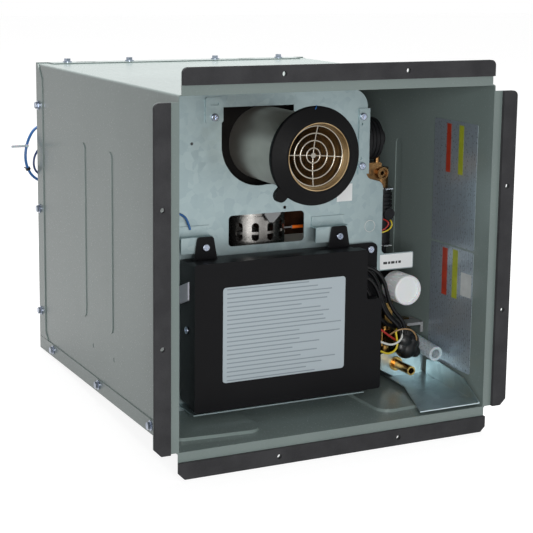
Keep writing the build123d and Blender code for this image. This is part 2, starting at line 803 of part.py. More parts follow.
# Casing: roof and walls in one folded sheet
def side_flange_outline(inner_edge):
    top = CASING_HEIGHT - FLANGE_TOP_GAP
    points = [
        (inner_edge, SHEET), (FLANGE_TIP - FLANGE_BEVEL, SHEET), (FLANGE_TIP, SHEET + FLANGE_BEVEL),
        (FLANGE_TIP, top), (inner_edge, top),
    ]
    return rounded(points, [0, 0, 0, FLANGE_CORNER, 0])


def roof_flange_outline(low):
    half = HALF - ROOF_FLANGE_INSET
    top = CASING_HEIGHT + FLANGE
    return rounded([(-half, low), (half, low), (half, top), (-half, top)], [0, 0, FLANGE_CORNER, FLANGE_CORNER])


def floor_flange_outline(top):
    low = -FLANGE
    cut = FLANGE_CORNER
    points = [(-HALF, top), (-HALF, low + cut), (-HALF + cut, low), (HALF - cut, low), (HALF, low + cut), (HALF, top)]
    return rounded(points, [0] * len(points))


def side_flange_holes():
    holes = []
    for step in (-1, 1):
        z = HOLE_HEIGHT + step * SIDE_HOLE_PITCH / 2
        holes.append(rod(FLANGE_TIP - FLANGE_HOLE_INSET, -FOAM_THICK - OVERRUN, z, REAR,
                         FOAM_THICK + SHEET + 2 * OVERRUN, FLANGE_HOLE_R))
    return both_sides(holes[0] + holes[1])


def level_flange_holes(z):
    hole = rod(LEVEL_HOLE_PITCH / 2, -FOAM_THICK - OVERRUN, z, REAR, FOAM_THICK + SHEET + 2 * OVERRUN, FLANGE_HOLE_R)
    return both_sides(hole)


def wall_beads(length, width, x, thickness):
    beads = []
    for step in (0, 1):
        slot = Pos(BEAD_DEPTH + step * BEAD_PITCH, HOLE_HEIGHT) * Rot(0, 0, 90) * SlotOverall(length, width)
        beads.append(side_sheet(slot, x, thickness))
    return beads[0] + beads[1]


def floor_screw_holes():
    holes = [rod(-FLANGE_TIP, depth, FLOOR_SCREW_HEIGHT, RIGHT, 2 * FLANGE_TIP, CASING_SCREW_HOLE_R)
             for depth in FLOOR_SCREW_DEPTHS]
    return Part() + holes


def rear_screw_holes():
    holes = [rod(-FLANGE_TIP, REAR_SCREW_DEPTH, z, RIGHT, 2 * FLANGE_TIP, CASING_SCREW_HOLE_R)
             for z in REAR_SCREW_HEIGHTS]
    roof = [rod(x, REAR_SCREW_DEPTH, ROOF_INNER - OVERRUN, UP, 2 * (SHEET + OVERRUN), CASING_SCREW_HOLE_R)
            for x in ROOF_SCREW_PLACES]
    return Part() + holes + roof


def casing_wrap():
    outer = rounded([(-HALF, SHEET), (HALF, SHEET), (HALF, CASING_HEIGHT), (-HALF, CASING_HEIGHT)],
                    [0, 0, CASING_BEND, CASING_BEND])
    bend = CASING_BEND - SHEET
    inner = rounded([(-INNER, SHEET), (INNER, SHEET), (INNER, ROOF_INNER), (-INNER, ROOF_INNER)], [0, 0, bend, bend])
    wrap = front_sheet(outer - inner, 0, BACK)
    wrap += both_sides(front_sheet(side_flange_outline(INNER), 0, SHEET))
    wrap += front_sheet(roof_flange_outline(ROOF_INNER), 0, SHEET)
    wrap += both_sides(wall_beads(BEAD_LENGTH, BEAD_WIDTH, HALF, BEAD_RISE))
    wrap -= both_sides(wall_beads(BEAD_LENGTH - 2 * SHEET, BEAD_WIDTH - 2 * SHEET, INNER, BEAD_RISE))
    wrap -= side_flange_holes()
    wrap -= level_flange_holes(CASING_HEIGHT + FLANGE - FLANGE_HOLE_INSET)
    wrap -= floor_screw_holes()
    wrap -= rear_screw_holes()
    for step in (0, 1):
        wrap -= rod(-HALF, DIMPLE_DEPTH + step * DIMPLE_PITCH, DIMPLE_HEIGHT, RIGHT, DIMPLE_SINK, DIMPLE_R)
    return wrap


# Casing: floor with two pressed pads
def pad_outline(x0, x1, slant_left, inset):
    front_left = PAD_FRONT + inset + (PAD_SLANT if slant_left else 0)
    front_right = PAD_FRONT + inset + (0 if slant_left else PAD_SLANT)
    back = BACK - PAD_BACK_GAP - inset
    points = [(x0 + inset, front_left), (x1 - inset, front_right), (x1 - inset, back), (x0 + inset, back)]
    return rounded(points, [PAD_CORNER - inset] * len(points))


def bottom_pan():
    pan = block(-HALF - SHEET, HALF + SHEET, 0, BACK, 0, SHEET)
    pan += both_sides(block(HALF, HALF + SHEET, SHEET, BACK, 0, LAP_HEIGHT))
    pan += front_sheet(floor_flange_outline(SHEET), 0, SHEET)
    left = PAD_SIDE_GAP - HALF
    right = HALF - PAD_SIDE_GAP
    for x0, x1, slant_left in ((left, left + PAD_WIDTH_LEFT, True), (right - PAD_WIDTH_RIGHT, right, False)):
        pan += floor_sheet(pad_outline(x0, x1, slant_left, 0), 0, PAD_TOP)
        pan -= floor_sheet(pad_outline(x0, x1, slant_left, SHEET), 0, PAD_RISE)
    pan -= level_flange_holes(FLANGE_HOLE_INSET - FLANGE)
    pan -= floor_screw_holes()
    return pan


# Casing: back panel with its laps
def pipe_places():
    return ((GAS_X, GAS_Z), (COLUMN_X, FILTER_Z), (HOT_X, PIPE_Z))


def rear_cover():
    low = LAP_HEIGHT + LAP_GAP
    cover = block(-HALF - SHEET, HALF + SHEET, BACK, CASING_DEPTH, 0, CASING_HEIGHT + SHEET)
    side = [
        (CASING_DEPTH, low), (REAR_LAP_FRONT - REAR_LAP_STEP, low), (REAR_LAP_FRONT, low + REAR_LAP_STEP),
        (REAR_LAP_FRONT, CASING_HEIGHT - REAR_LAP_RUN), (REAR_LAP_FRONT + REAR_LAP_SLOPE, CASING_HEIGHT),
        (CASING_DEPTH, CASING_HEIGHT),
    ]
    cover += both_sides(side_sheet(rounded(side, [0] * len(side)), HALF, SHEET))
    half = HALF - ROOF_LAP_INSET
    cover += block(-half, half, REAR_LAP_FRONT, CASING_DEPTH, CASING_HEIGHT, CASING_HEIGHT + SHEET)
    slot = SlotOverall(ROOF_SLOT_LENGTH, ROOF_SLOT_WIDTH)
    for x in (ROOF_SLOT_LEFT, ROOF_SLOT_RIGHT):
        cover -= floor_sheet(Pos(x, REAR_SCREW_DEPTH) * slot, CASING_HEIGHT, SHEET)
    cover -= rear_screw_holes()
    for x, z in pipe_places():
        cover -= rod(x, BACK, z, REAR, SHEET, FITTING_THREAD_R + FITTING_HOLE_FIT)
    for x, z in GROMMET_PLACES:
        cover -= rod(x, BACK, z, REAR, SHEET, GROMMET_NECK_R + GROMMET_FIT)
    return cover


def casing_screws():
    screws = []
    lap = HALF + SHEET
    for depth in FLOOR_SCREW_DEPTHS:
        screws.append(hex_screw(-lap, depth, FLOOR_SCREW_HEIGHT, LEFT))
        screws.append(hex_screw(lap, depth, FLOOR_SCREW_HEIGHT, RIGHT))
    for z in REAR_SCREW_HEIGHTS:
        screws.append(hex_screw(-lap, REAR_SCREW_DEPTH, z, LEFT))
        screws.append(hex_screw(lap, REAR_SCREW_DEPTH, z, RIGHT))
    for x in ROOF_SCREW_PLACES:
        screws.append(hex_screw(x, REAR_SCREW_DEPTH, CASING_HEIGHT + SHEET, UP))
    return group(screws)


def foam_strips():
    holes = side_flange_holes()
    side = front_sheet(side_flange_outline(FLANGE_TIP - FOAM_WIDTH), -FOAM_THICK, FOAM_THICK)
    sides = both_sides(side) - holes
    top_z = CASING_HEIGHT + FLANGE
    top = front_sheet(roof_flange_outline(top_z - FOAM_WIDTH), -FOAM_THICK, FOAM_THICK)
    top -= level_flange_holes(top_z - FLANGE_HOLE_INSET)
    low = front_sheet(floor_flange_outline(FOAM_WIDTH - FLANGE), -FOAM_THICK, FOAM_THICK)
    low -= level_flange_holes(FLANGE_HOLE_INSET - FLANGE)
    return group([sides, top, low])


# Mounting plate and its brackets
def plate_outline():
    points = [
        (-INNER, PAD_TOP), (PLATE_FOOT_RIGHT, PAD_TOP), (PLATE_FOOT_RIGHT, ARM_LOW), (ARM_END, ARM_LOW),
        (ARM_END, ARM_TOP), (PLATE_STEP_RIGHT, ARM_TOP), (PLATE_STEP_RIGHT, PLATE_STEP_LOW),
        (PLATE_RIGHT, PLATE_STEP_TOP), (PLATE_RIGHT, PLATE_TOP), (-INNER, PLATE_TOP),
    ]
    radii = [0, 0, ARM_FILLET, ARM_R, ARM_R, ARM_FILLET, PLATE_STEP_R, PLATE_STEP_R, PLATE_CORNER, 0]
    return rounded(points, radii)


def flue_cut():
    cut = Pos(FLUE_X, FLUE_Z) * Circle(FLUE_HOLE_R)
    cut += Pos(FLUE_X - FLUE_NOTCH_SHIFT, FLUE_Z + FLUE_NOTCH_LIFT) * Circle(FLUE_NOTCH_R)
    low = FLUE_Z + FLUE_NOTCH_LIFT
    top = FLUE_Z + FLUE_NOTCH_TOP
    reach = FLUE_NOTCH_R * 2
    cut &= rectangle(FLUE_X - reach, FLUE_X + reach, FLUE_Z - reach, top, 0)
    cut += rectangle(FLUE_X - FLUE_NOTCH_LEFT, FLUE_X + FLUE_NOTCH_RIGHT, low, top, 0)
    return cut


def window_outline():
    left = FLUE_X - WINDOW_LEFT
    return rectangle(left, left + WINDOW_WIDTH, WINDOW_LOW, WINDOW_TOP, WINDOW_R)


def plate_screw_places():
    strip_x = STRIP_RIGHT - STRIP_SCREW_INSET
    top = STRIP_LOW + STRIP_HEIGHT
    return (
        (strip_x, STRIP_FRONT, top - STRIP_SCREW_INSET),
        (strip_x, STRIP_FRONT, STRIP_LOW + STRIP_SCREW_INSET),
        (FLUE_X + NOTCH_BRACKET_SHIFT, STRIP_FRONT, NOTCH_BRACKET_LOW + NOTCH_BRACKET_SCREW),
        (PLATE_STEP_RIGHT - STAMP_SCREW_LEFT, BOX_BACK - BACK_PLATE_THICK, STAMP_SCREW_HEIGHT),
        (EAR_LEFT_X, EAR_DEPTH, EAR_SCREW_Z),
        (EAR_RIGHT_X, EAR_DEPTH, EAR_SCREW_Z),
    )


def screw_bores():
    bores = [rod(x, depth, z, REAR, PAN_SHANK + OVERRUN, PAN_SHANK_R) for x, depth, z in plate_screw_places()]
    return Part() + bores


def mount_plate():
    outline = plate_outline() - flue_cut() - window_outline()
    plate = front_sheet(outline, PLATE_DEPTH, PLATE_SHEET)
    back = PLATE_DEPTH + PLATE_RETURN
    plate += block(-INNER, PLATE_SHEET - INNER, PLATE_DEPTH, back, PAD_TOP, PLATE_TOP)
    plate += block(-INNER, PLATE_FOOT_RIGHT, PLATE_DEPTH, back, PAD_TOP, PAD_TOP + PLATE_SHEET)
    plate -= rod(FLUE_X + PLATE_HOLE_SHIFT, PLATE_DEPTH, FLUE_Z - PLATE_HOLE_DROP, REAR, PLATE_SHEET, PLATE_HOLE_R)
    return plate - screw_bores()


def plate_brackets():
    top = STRIP_LOW + STRIP_HEIGHT
    strip = block(STRIP_RIGHT - STRIP_WIDTH, STRIP_RIGHT, STRIP_FRONT, PLATE_DEPTH, STRIP_LOW, top)
    leg_low = SWITCH_Z - STRIP_LEG_HEIGHT / 2
    leg = block(STRIP_RIGHT - PLATE_SHEET, STRIP_RIGHT, STRIP_FRONT, STRIP_FRONT + STRIP_LEG, leg_low,
                leg_low + STRIP_LEG_HEIGHT)
    strip += leg
    for z in (top - STRIP_HOLE_INSET, STRIP_LOW + STRIP_HOLE_INSET):
        strip -= rod(STRIP_RIGHT - STRIP_SCREW_INSET - STRIP_HOLE_R, STRIP_FRONT, z, REAR, STRIP_SHEET, STRIP_HOLE_R)
    centre = FLUE_X + NOTCH_BRACKET_SHIFT
    high = NOTCH_BRACKET_LOW + NOTCH_BRACKET_HEIGHT
    left = centre - NOTCH_BRACKET_WIDTH / 2
    small = front_sheet(rectangle(left, left + NOTCH_BRACKET_WIDTH, NOTCH_BRACKET_LOW, high, FLANGE_CORNER / 2),
                        STRIP_FRONT, STRIP_SHEET)
    slot = Pos(centre, high - NOTCH_SLOT_WIDTH * 2) * SlotOverall(NOTCH_SLOT_LENGTH, NOTCH_SLOT_WIDTH)
    small -= front_sheet(slot, STRIP_FRONT, STRIP_SHEET)
    bores = screw_bores()
    return group([strip - bores, small - bores])


def plate_screws():
    screws = [pan_screw(x, depth, z, FRONT) for x, depth, z in plate_screw_places()]
    screws.append(pan_screw(BOX_LEFT + TRAY_INSET, SIDE_SCREW_DEPTH, SIDE_SCREW_HEIGHT, LEFT))
    return group(screws)


def plate_labels():
    front = PLATE_DEPTH - STICKER_THICK
    left = PLATE_RIGHT - STICKER_LEFT
    square = rectangle(left, left + STICKER_SIZE, STICKER_LOW, STICKER_LOW + STICKER_SIZE, 0)
    right = ARM_END - ARM_STICKER_MARGIN
    strip = rectangle(right - ARM_STICKER_LENGTH, right, ARM_LOW + ARM_STICKER_MARGIN, ARM_TOP - ARM_STICKER_MARGIN, 0)
    return group([front_sheet(square, front, STICKER_THICK), front_sheet(strip, front, STICKER_THICK)])


def box_shelf():
    right = BOX_NOTCH
    shelf = block(BOX_LEFT, right, BOX_FRONT + SHELF_GAP, PLATE_DEPTH, SHELF_TOP - SHELF_SHEET, SHELF_TOP)
    shelf += block(BOX_LEFT, right, PLATE_DEPTH - SHELF_SHEET, PLATE_DEPTH, PAD_TOP, SHELF_TOP)
    return shelf


def box_supports():
    clips = [box_shelf()]
    places = (
        (EAR_LEFT_X - CLIP_LEFT_SHIFT, CLIP_WIDTH_LEFT),
        (EAR_RIGHT_X - CLIP_RIGHT_SHIFT, CLIP_WIDTH_RIGHT),
    )
    face = EAR_DEPTH + EAR_THICK
    for centre, width in places:
        x0 = centre - width / 2
        x1 = centre + width / 2
        clip = block(x0, x1, face, face + CLIP_SHEET, CLIP_LOW, CLIP_TOP)
        clip += block(x0, x1, face, PLATE_DEPTH, CLIP_TOP - CLIP_SHEET, CLIP_TOP)
        clip += block(x0, x1, PLATE_DEPTH - CLIP_SHEET, PLATE_DEPTH, CLIP_TOP - CLIP_SHEET, CLIP_TOP + CLIP_TAB)
        clips.append(clip - screw_bores())
    return group(clips)


# Control box
def box_outline(inset, radius, notch_radius):
    left = BOX_LEFT + inset
    right = BOX_RIGHT - inset
    low = BOX_LOW + inset
    top = BOX_TOP - inset
    notch = BOX_NOTCH - inset
    step = BOX_NOTCH_LOW - inset
    points = [(left, low), (right, low), (right, step), (notch, step), (notch, top), (left, top)]
    return rounded(points, [radius, radius, radius, notch_radius, radius, radius])


def control_box_cover():
    shell = front_sheet(box_outline(0, BOX_CORNER, BOX_CORNER), BOX_FRONT, COVER_DEPTH)
    inner = box_outline(BOX_WALL, BOX_CORNER - BOX_WALL, BOX_CORNER + BOX_WALL)
    hollow = front_sheet(inner, BOX_FRONT + BOX_WALL, COVER_DEPTH)
    return shell - hollow


def ear(centre):
    low = BOX_TOP - TRAY_INSET - EAR_THICK
    high = BOX_TOP - TRAY_INSET + EAR_HEIGHT
    points = [
        (centre - EAR_BOTTOM / 2, low), (centre + EAR_BOTTOM / 2, low),
        (centre + EAR_TOP / 2, high), (centre - EAR_TOP / 2, high),
    ]
    return front_sheet(rounded(points, [0, 0, EAR_R, EAR_R]), EAR_DEPTH, EAR_THICK)


def control_box_base():
    front = BOX_FRONT + BOX_WALL + BOX_FIT
    inset = TRAY_INSET
    wall_back = BOX_BACK - BACK_PLATE_THICK
    base = front_sheet(box_outline(inset, BOX_CORNER, BOX_CORNER), front, wall_back - front)
    base -= front_sheet(box_outline(inset + BOX_WALL, BOX_CORNER, BOX_CORNER + BOX_WALL), front, wall_back - front)
    right = BOX_RIGHT + BACK_PLATE_OUT
    top = BOX_TOP - BACK_PLATE_TOP_GAP
    corner = BACK_PLATE_CORNER
    back = rectangle(BOX_LEFT + inset, right, BOX_LOW + inset, top, corner)
    base += front_sheet(back, wall_back, BACK_PLATE_THICK)
    base += ear(EAR_LEFT_X) + ear(EAR_RIGHT_X)
    for x, z in board_posts():
        base += rod(x, BOARD_DEPTH + BOARD_THICK, z, REAR, wall_back - BOARD_DEPTH - BOARD_THICK, BOARD_POST_R)
    outer = BOX_NOTCH - inset
    base -= block(outer - BOX_WALL - OVERRUN, outer + OVERRUN, CABLE_WINDOW_FRONT, CABLE_WINDOW_BACK,
                  CABLE_WINDOW_LOW, CABLE_WINDOW_TOP)
    left_screw = rod(BOX_LEFT, SIDE_SCREW_DEPTH, SIDE_SCREW_HEIGHT, RIGHT, PAN_SHANK + inset, PAN_SHANK_R)
    return base - screw_bores() - left_screw


def board_edges():
    margin = TRAY_INSET + BOX_WALL + BOARD_MARGIN
    return BOX_LEFT + margin, BOX_NOTCH - margin, BOX_LOW + margin, BOX_TOP - margin


def board_posts():
    left, right, low, top = board_edges()
    gap = BOARD_POST_INSET
    return [(x, z) for x in (left + gap, right - gap) for z in (low + gap, top - gap)]


def circuit_board():
    left, right, low, top = board_edges()
    board = block(left, right, BOARD_DEPTH, BOARD_DEPTH + BOARD_THICK, low, top)
    middle = (left + right) / 2
    centre = (low + top) / 2
    sink = block(left + BOARD_MARGIN, left + BOARD_MARGIN + HEAT_SINK[0], BOARD_DEPTH - HEAT_SINK[1], BOARD_DEPTH,
                 centre, centre + HEAT_SINK[2])
    relays = [block(middle + step * (RELAY[0] + BOARD_MARGIN / 2), middle + step * (RELAY[0] + BOARD_MARGIN / 2)
                    + RELAY[0], BOARD_DEPTH - RELAY[1], BOARD_DEPTH, centre, centre + RELAY[2]) for step in (0, 1, 2)]
    cans = [rod(left + BOARD_MARGIN * 2 + step * CAPACITOR_R * 3, BOARD_DEPTH, centre - RELAY[2], FRONT,
                CAPACITOR_LENGTH, CAPACITOR_R) for step in (0, 1, 2, 3)]
    return group([board, sink] + relays + cans)


def rating_plate():
    outline = rectangle(BOX_LEFT + RATING_LEFT, BOX_RIGHT - RATING_RIGHT, BOX_LOW + RATING_LOW,
                        BOX_TOP - RATING_TOP, RATING_CORNER)
    return front_sheet(outline, BOX_FRONT - RATING_THICK, RATING_THICK)


def side_sleeve():
    front = BOX_FRONT + COVER_DEPTH
    points = [
        (front, SLEEVE_TOP - SLEEVE_TALL), (PLATE_DEPTH, SLEEVE_TOP - SLEEVE_TALL - SLEEVE_DROP),
        (PLATE_DEPTH, SLEEVE_TOP - SLEEVE_DROP), (front, SLEEVE_TOP),
    ]
    outline = rounded(points, [0] * len(points))
    right = BOX_LEFT + TRAY_INSET
    solid = side_sheet(outline, right - SLEEVE_THICK, SLEEVE_THICK)
    return fillet(solid.edges().filter_by(Axis.X, reverse=True).group_by(Axis.X)[0], SLEEVE_THICK / 3)


# Flue, seal ring, liner and guard
def flue_outer_tube():
    pipe = sleeve(FLUE_X, FLUE_FRONT, FLUE_Z, REAR, FLUE_BACK - FLUE_FRONT, FLUE_R, FLUE_R - FLUE_WALL)
    start = RING_RIM_FRONT + RING_THICK + RING_SLEEVE + FLUE_BEAD_WIDTH
    bead = sleeve(FLUE_X, start, FLUE_Z, REAR, FLUE_BEAD_WIDTH, FLUE_R + FLUE_BEAD_RISE, FLUE_R - FLUE_WALL)
    return pipe + bead


def flue_seal_ring():
    rim_back = RING_RIM_FRONT + RING_THICK
    end = rim_back + RING_SLEEVE
    grip = FLUE_R + RING_SLEEVE_WALL
    points = [
        (RING_BORE_R, RING_FRONT), (RING_LIP_R, RING_FRONT), (RING_R, RING_RIM_FRONT), (RING_R, rim_back),
        (grip, rim_back), (grip, end), (FLUE_R, end), (FLUE_R, FLUE_FRONT), (RING_BORE_R, FLUE_FRONT),
    ]
    ring = turned(rounded(points, [0, RING_LIP_EDGE, RING_EDGE, RING_EDGE, 0, 0, 0, 0, 0]), FLUE_X, FLUE_Z)
    angle = math.radians(RING_TAB_ANGLE)
    reach = RING_R + RING_TAB_OUT
    start = RING_R - RING_TAB_R
    tab = rod(FLUE_X + reach * math.cos(angle), RING_RIM_FRONT, FLUE_Z + reach * math.sin(angle), REAR,
              RING_THICK, RING_TAB_R)
    neck = Pos((start + reach) / 2, 0) * Rectangle(reach - start, 2 * RING_TAB_R)
    neck = Pos(FLUE_X, FLUE_Z) * Rot(0, 0, RING_TAB_ANGLE) * neck
    return ring + tab + front_sheet(neck, RING_RIM_FRONT, RING_THICK)


def flue_inner_tube():
    flare_end = LINER_FRONT + LINER_FLARE
    collar_end = flare_end + LINER_COLLAR
    outer = [(LINER_LIP_R, LINER_FRONT), (LINER_R, flare_end), (LINER_R, collar_end)]
    for rib in range(LINER_RIBS):
        start = collar_end + rib * LINER_PITCH
        outer.append((LINER_R - LINER_RIB, start + LINER_PITCH / 2))
        outer.append((LINER_R, start + LINER_PITCH))
    outer.append((LINER_R, FLUE_BACK + LINER_PAST))
    inner = [(radius - LINER_WALL, depth) for radius, depth in reversed(outer)]
    return turned(make_face(Polyline(*outer, *inner, close=True)), FLUE_X, FLUE_Z)


def guard_spoke(angle, rim):
    across = rim * math.cos(angle)
    up = rim * math.sin(angle)
    ends = [(FLUE_X + side * across, y_at(GUARD_DEPTH), FLUE_Z + side * up) for side in (-1, 1)]
    path = ThreePointArc(ends[0], (FLUE_X, y_at(GUARD_DEPTH + GUARD_DISH), FLUE_Z), ends[1])
    return sweep(Plane(origin=path @ 0, z_dir=path % 0) * Circle(GUARD_SPOKE_R), path=path)


def flue_guard():
    rim = LINER_R - LINER_WALL - GUARD_WIRE_R - GUARD_GAP
    hub = GUARD_DEPTH + GUARD_DISH - GUARD_HUB_THICK / 2
    guard = rod(FLUE_X, hub, FLUE_Z, REAR, GUARD_HUB_THICK, GUARD_HUB_R)
    sphere = (rim**2 + GUARD_DISH**2) / (2 * GUARD_DISH)
    for step in range(GUARD_RING_COUNT):
        radius = rim * (step + 1) / GUARD_RING_COUNT
        depth = GUARD_DEPTH + GUARD_DISH - sphere + math.sqrt(sphere**2 - radius**2)
        guard += place(FLUE_X, depth, FLUE_Z, REAR) * Torus(radius, GUARD_WIRE_R)
    turn = math.radians(GUARD_TURN)
    return guard + guard_spoke(turn, rim) + guard_spoke(turn + math.pi / 2, rim)


# Exhaust hood, heat exchanger and burner box
def exhaust_hood():
    left = FLUE_X - HOOD_LEFT
    right = FLUE_X + HOOD_RIGHT
    wall = HOOD_WALL
    hood = block(left, right, FLUE_BACK, CORE_FRONT, HOOD_LOW, HOOD_TOP)
    hood += block(CORE_LEFT, CORE_RIGHT, CORE_FRONT, CORE_BACK, SHELL_TOP, HOOD_TOP)
    hood -= block(left + wall, right - wall, FLUE_BACK + wall, CORE_FRONT - wall, HOOD_LOW + wall, HOOD_TOP - wall)
    hood -= block(CORE_LEFT + wall, CORE_RIGHT - wall, CORE_FRONT + wall, CORE_BACK - wall, SHELL_TOP, HOOD_TOP - wall)
    hood -= block(left + wall, right - wall, CORE_FRONT - wall, CORE_FRONT + wall, SHELL_TOP + wall, HOOD_TOP - wall)
    hood -= rod(FLUE_X, FLUE_BACK, FLUE_Z, REAR, wall, LINER_R)
    return hood


def pipe_rows():
    return [CORE_FRONT + PIPE_END_GAP + row * PIPE_ROW for row in range(PIPE_ROW_COUNT)]


def heat_exchanger_shell():
    wall = SHELL_WALL
    shell = block(CORE_LEFT, CORE_RIGHT, CORE_FRONT, CORE_BACK, SHELL_LOW, SHELL_TOP)
    shell -= block(CORE_LEFT + wall, CORE_RIGHT - wall, CORE_FRONT + wall, CORE_BACK - wall, SHELL_LOW, SHELL_TOP)
    for depth in pipe_rows():
        shell -= rod(CORE_LEFT - wall, depth, PIPE_Z, RIGHT, CORE_RIGHT - CORE_LEFT + 2 * wall, PIPE_R + PIPE_CLEAR)
    return shell


def heat_exchanger_fins():
    low_x = CORE_LEFT + SHELL_WALL + FIN_MARGIN
    high_x = CORE_RIGHT - SHELL_WALL - FIN_MARGIN - FIN_THICK
    fin = block(low_x, low_x + FIN_THICK, CORE_FRONT + SHELL_WALL + FIN_FIT, CORE_BACK - SHELL_WALL - FIN_FIT,
                FIN_LOW, FIN_TOP)
    for depth in pipe_rows():
        fin -= rod(low_x - FIN_THICK, depth, PIPE_Z, RIGHT, 3 * FIN_THICK, PIPE_R + FIN_FIT)
    step = (high_x - low_x) / (FIN_COUNT - 1)
    return group([Pos(index * step, 0, 0) * fin for index in range(FIN_COUNT)])


def heat_exchanger_pipes():
    rows = pipe_rows()
    left = CORE_LEFT - PIPE_OUT
    right = CORE_RIGHT + PIPE_OUT
    start = COLUMN_DEPTH + ELBOW_BACK
    route = [
        (OUTLET_X, start, PIPE_Z), (OUTLET_X, rows[0], PIPE_Z), (left, rows[0], PIPE_Z), (left, rows[1], PIPE_Z),
        (right, rows[1], PIPE_Z), (right, rows[2], PIPE_Z), (left, rows[2], PIPE_Z), (left, rows[3], PIPE_Z),
        (CORE_RIGHT + PIPE_STUB, rows[3], PIPE_Z),
    ]
    solid, length = tube(route, PIPE_R, PIPE_R - PIPE_WALL, [HOT_BEND] + [PIPE_BEND] * 6)
    print("heat_exchanger_pipes length", round(length, 1))
    return solid


def bar_places():
    room = CORE_RIGHT - CORE_LEFT - 2 * SHELL_WALL
    pitch = room / BAR_COUNT
    return [CORE_LEFT + SHELL_WALL + pitch * (index + 1 / 2) for index in range(BAR_COUNT)]


def electrode_places():
    return [CORE_LEFT + ELECTRODE_SHIFT + index * ELECTRODE_PITCH for index in range(ELECTRODE_COUNT)]


def burner_box():
    wall = SHELL_WALL
    box = block(CORE_LEFT, CORE_RIGHT, CORE_FRONT, CORE_BACK, BURNER_LOW, BURNER_TOP)
    box -= block(CORE_LEFT + wall, CORE_RIGHT - wall, CORE_FRONT + wall, CORE_BACK - wall, BURNER_LOW + wall,
                 BURNER_TOP)
    for x in (CORE_LEFT, CORE_RIGHT - wall):
        for depth in (CORE_FRONT, CORE_BACK - LEG_WIDTH):
            box += block(x, x + wall, depth, depth + LEG_WIDTH, PAD_TOP, BURNER_LOW)
    left = MOTOR_X - BLOWER_R
    box -= block(left + BLOWER_WALL, left + BLOWER_DUCT_WIDTH - BLOWER_WALL, CORE_FRONT, CORE_FRONT + wall,
                 BLOWER_LOW + BLOWER_WALL, BLOWER_DUCT_TOP - BLOWER_WALL)
    for x in bar_places():
        box -= rod(x, CORE_FRONT, MANIFOLD_LOW + MANIFOLD_TALL / 2, REAR, wall, NOZZLE_HOLE_R)
    for x in electrode_places():
        box -= rod(x, CORE_FRONT, ELECTRODE_Z, REAR, wall, ELECTRODE_HOLE_R)
    return box


def burner_bars():
    front = CORE_FRONT + SHELL_WALL
    back = CORE_BACK - SHELL_WALL
    bars = []
    for x in bar_places():
        bar = block(x - BAR_WIDTH / 2, x + BAR_WIDTH / 2, front, back, BAR_LOW, BAR_LOW + BAR_HEIGHT)
        bar = fillet(bar.edges().filter_by(Axis.Y), BAR_EDGE)
        middle = (front + back) / 2
        for index in range(BAR_SLOTS):
            depth = middle + (index - (BAR_SLOTS - 1) / 2) * BAR_SLOT_PITCH
            bar -= block(x - BAR_WIDTH / 4, x + BAR_WIDTH / 4, depth, depth + BAR_SLOT_WIDTH,
                         BAR_LOW + BAR_HEIGHT - BAR_SLOT_DEPTH, BAR_LOW + BAR_HEIGHT)
        bars.append(bar)
    return group(bars)


def gas_manifold():
    places = bar_places()
    back = MANIFOLD_DEPTH + MANIFOLD_WIDE
    bar = block(places[0] - BAR_WIDTH / 2, VALVE_LEFT, MANIFOLD_DEPTH, back, MANIFOLD_LOW,
                MANIFOLD_LOW + MANIFOLD_TALL)
    for x in places:
        bar += rod(x, back, MANIFOLD_LOW + MANIFOLD_TALL / 2, REAR, CORE_FRONT + SHELL_WALL - back, NOZZLE_R)
    return bar


def spark_electrodes():
    pieces = []
    for x in electrode_places():
        body = rod(x, CORE_FRONT - ELECTRODE_OUT, ELECTRODE_Z, REAR, ELECTRODE_OUT + ELECTRODE_IN / 2, ELECTRODE_R)
        tip = rod(x, CORE_FRONT + ELECTRODE_IN / 2, ELECTRODE_Z, REAR, ELECTRODE_IN, ELECTRODE_TIP_R)
        collar = rod(x, CORE_FRONT - SHELL_WALL, ELECTRODE_Z, REAR, SHELL_WALL, ELECTRODE_R * 2)
        pieces.append(body + tip + collar)
    return group(pieces)


# Blower and motor
def blower_housing():
    wall = BLOWER_WALL
    tall = BLOWER_TOP - BLOWER_LOW
    left = MOTOR_X - BLOWER_R
    right = left + BLOWER_DUCT_WIDTH
    housing = rod(MOTOR_X, MOTOR_DEPTH, BLOWER_LOW, UP, tall, BLOWER_R)
    housing += block(left, right, MOTOR_DEPTH, CORE_FRONT, BLOWER_LOW, BLOWER_DUCT_TOP)
    housing -= rod(MOTOR_X, MOTOR_DEPTH, BLOWER_LOW + wall, UP, tall - 2 * wall, BLOWER_R - wall)
    housing -= block(left + wall, right - wall, MOTOR_DEPTH, CORE_FRONT, BLOWER_LOW + wall, BLOWER_DUCT_TOP - wall)
    housing -= rod(MOTOR_X, MOTOR_DEPTH, BLOWER_LOW, UP, wall, BLOWER_INLET_R)
    housing -= rod(MOTOR_X, MOTOR_DEPTH, BLOWER_TOP - wall, UP, wall, SHAFT_R + SHAFT_FIT)
    for step in (-1, 1):
        x = MOTOR_X + step * BLOWER_R / 2
        lug = block(x - BLOWER_LUG / 2, x + BLOWER_LUG / 2, PLATE_BACK, MOTOR_DEPTH - BLOWER_R / 2, BLOWER_TOP - wall,
                    BLOWER_TOP)
        lug -= rod(MOTOR_X, MOTOR_DEPTH, BLOWER_LOW, UP, tall, BLOWER_R - wall)
        housing += lug
    return housing


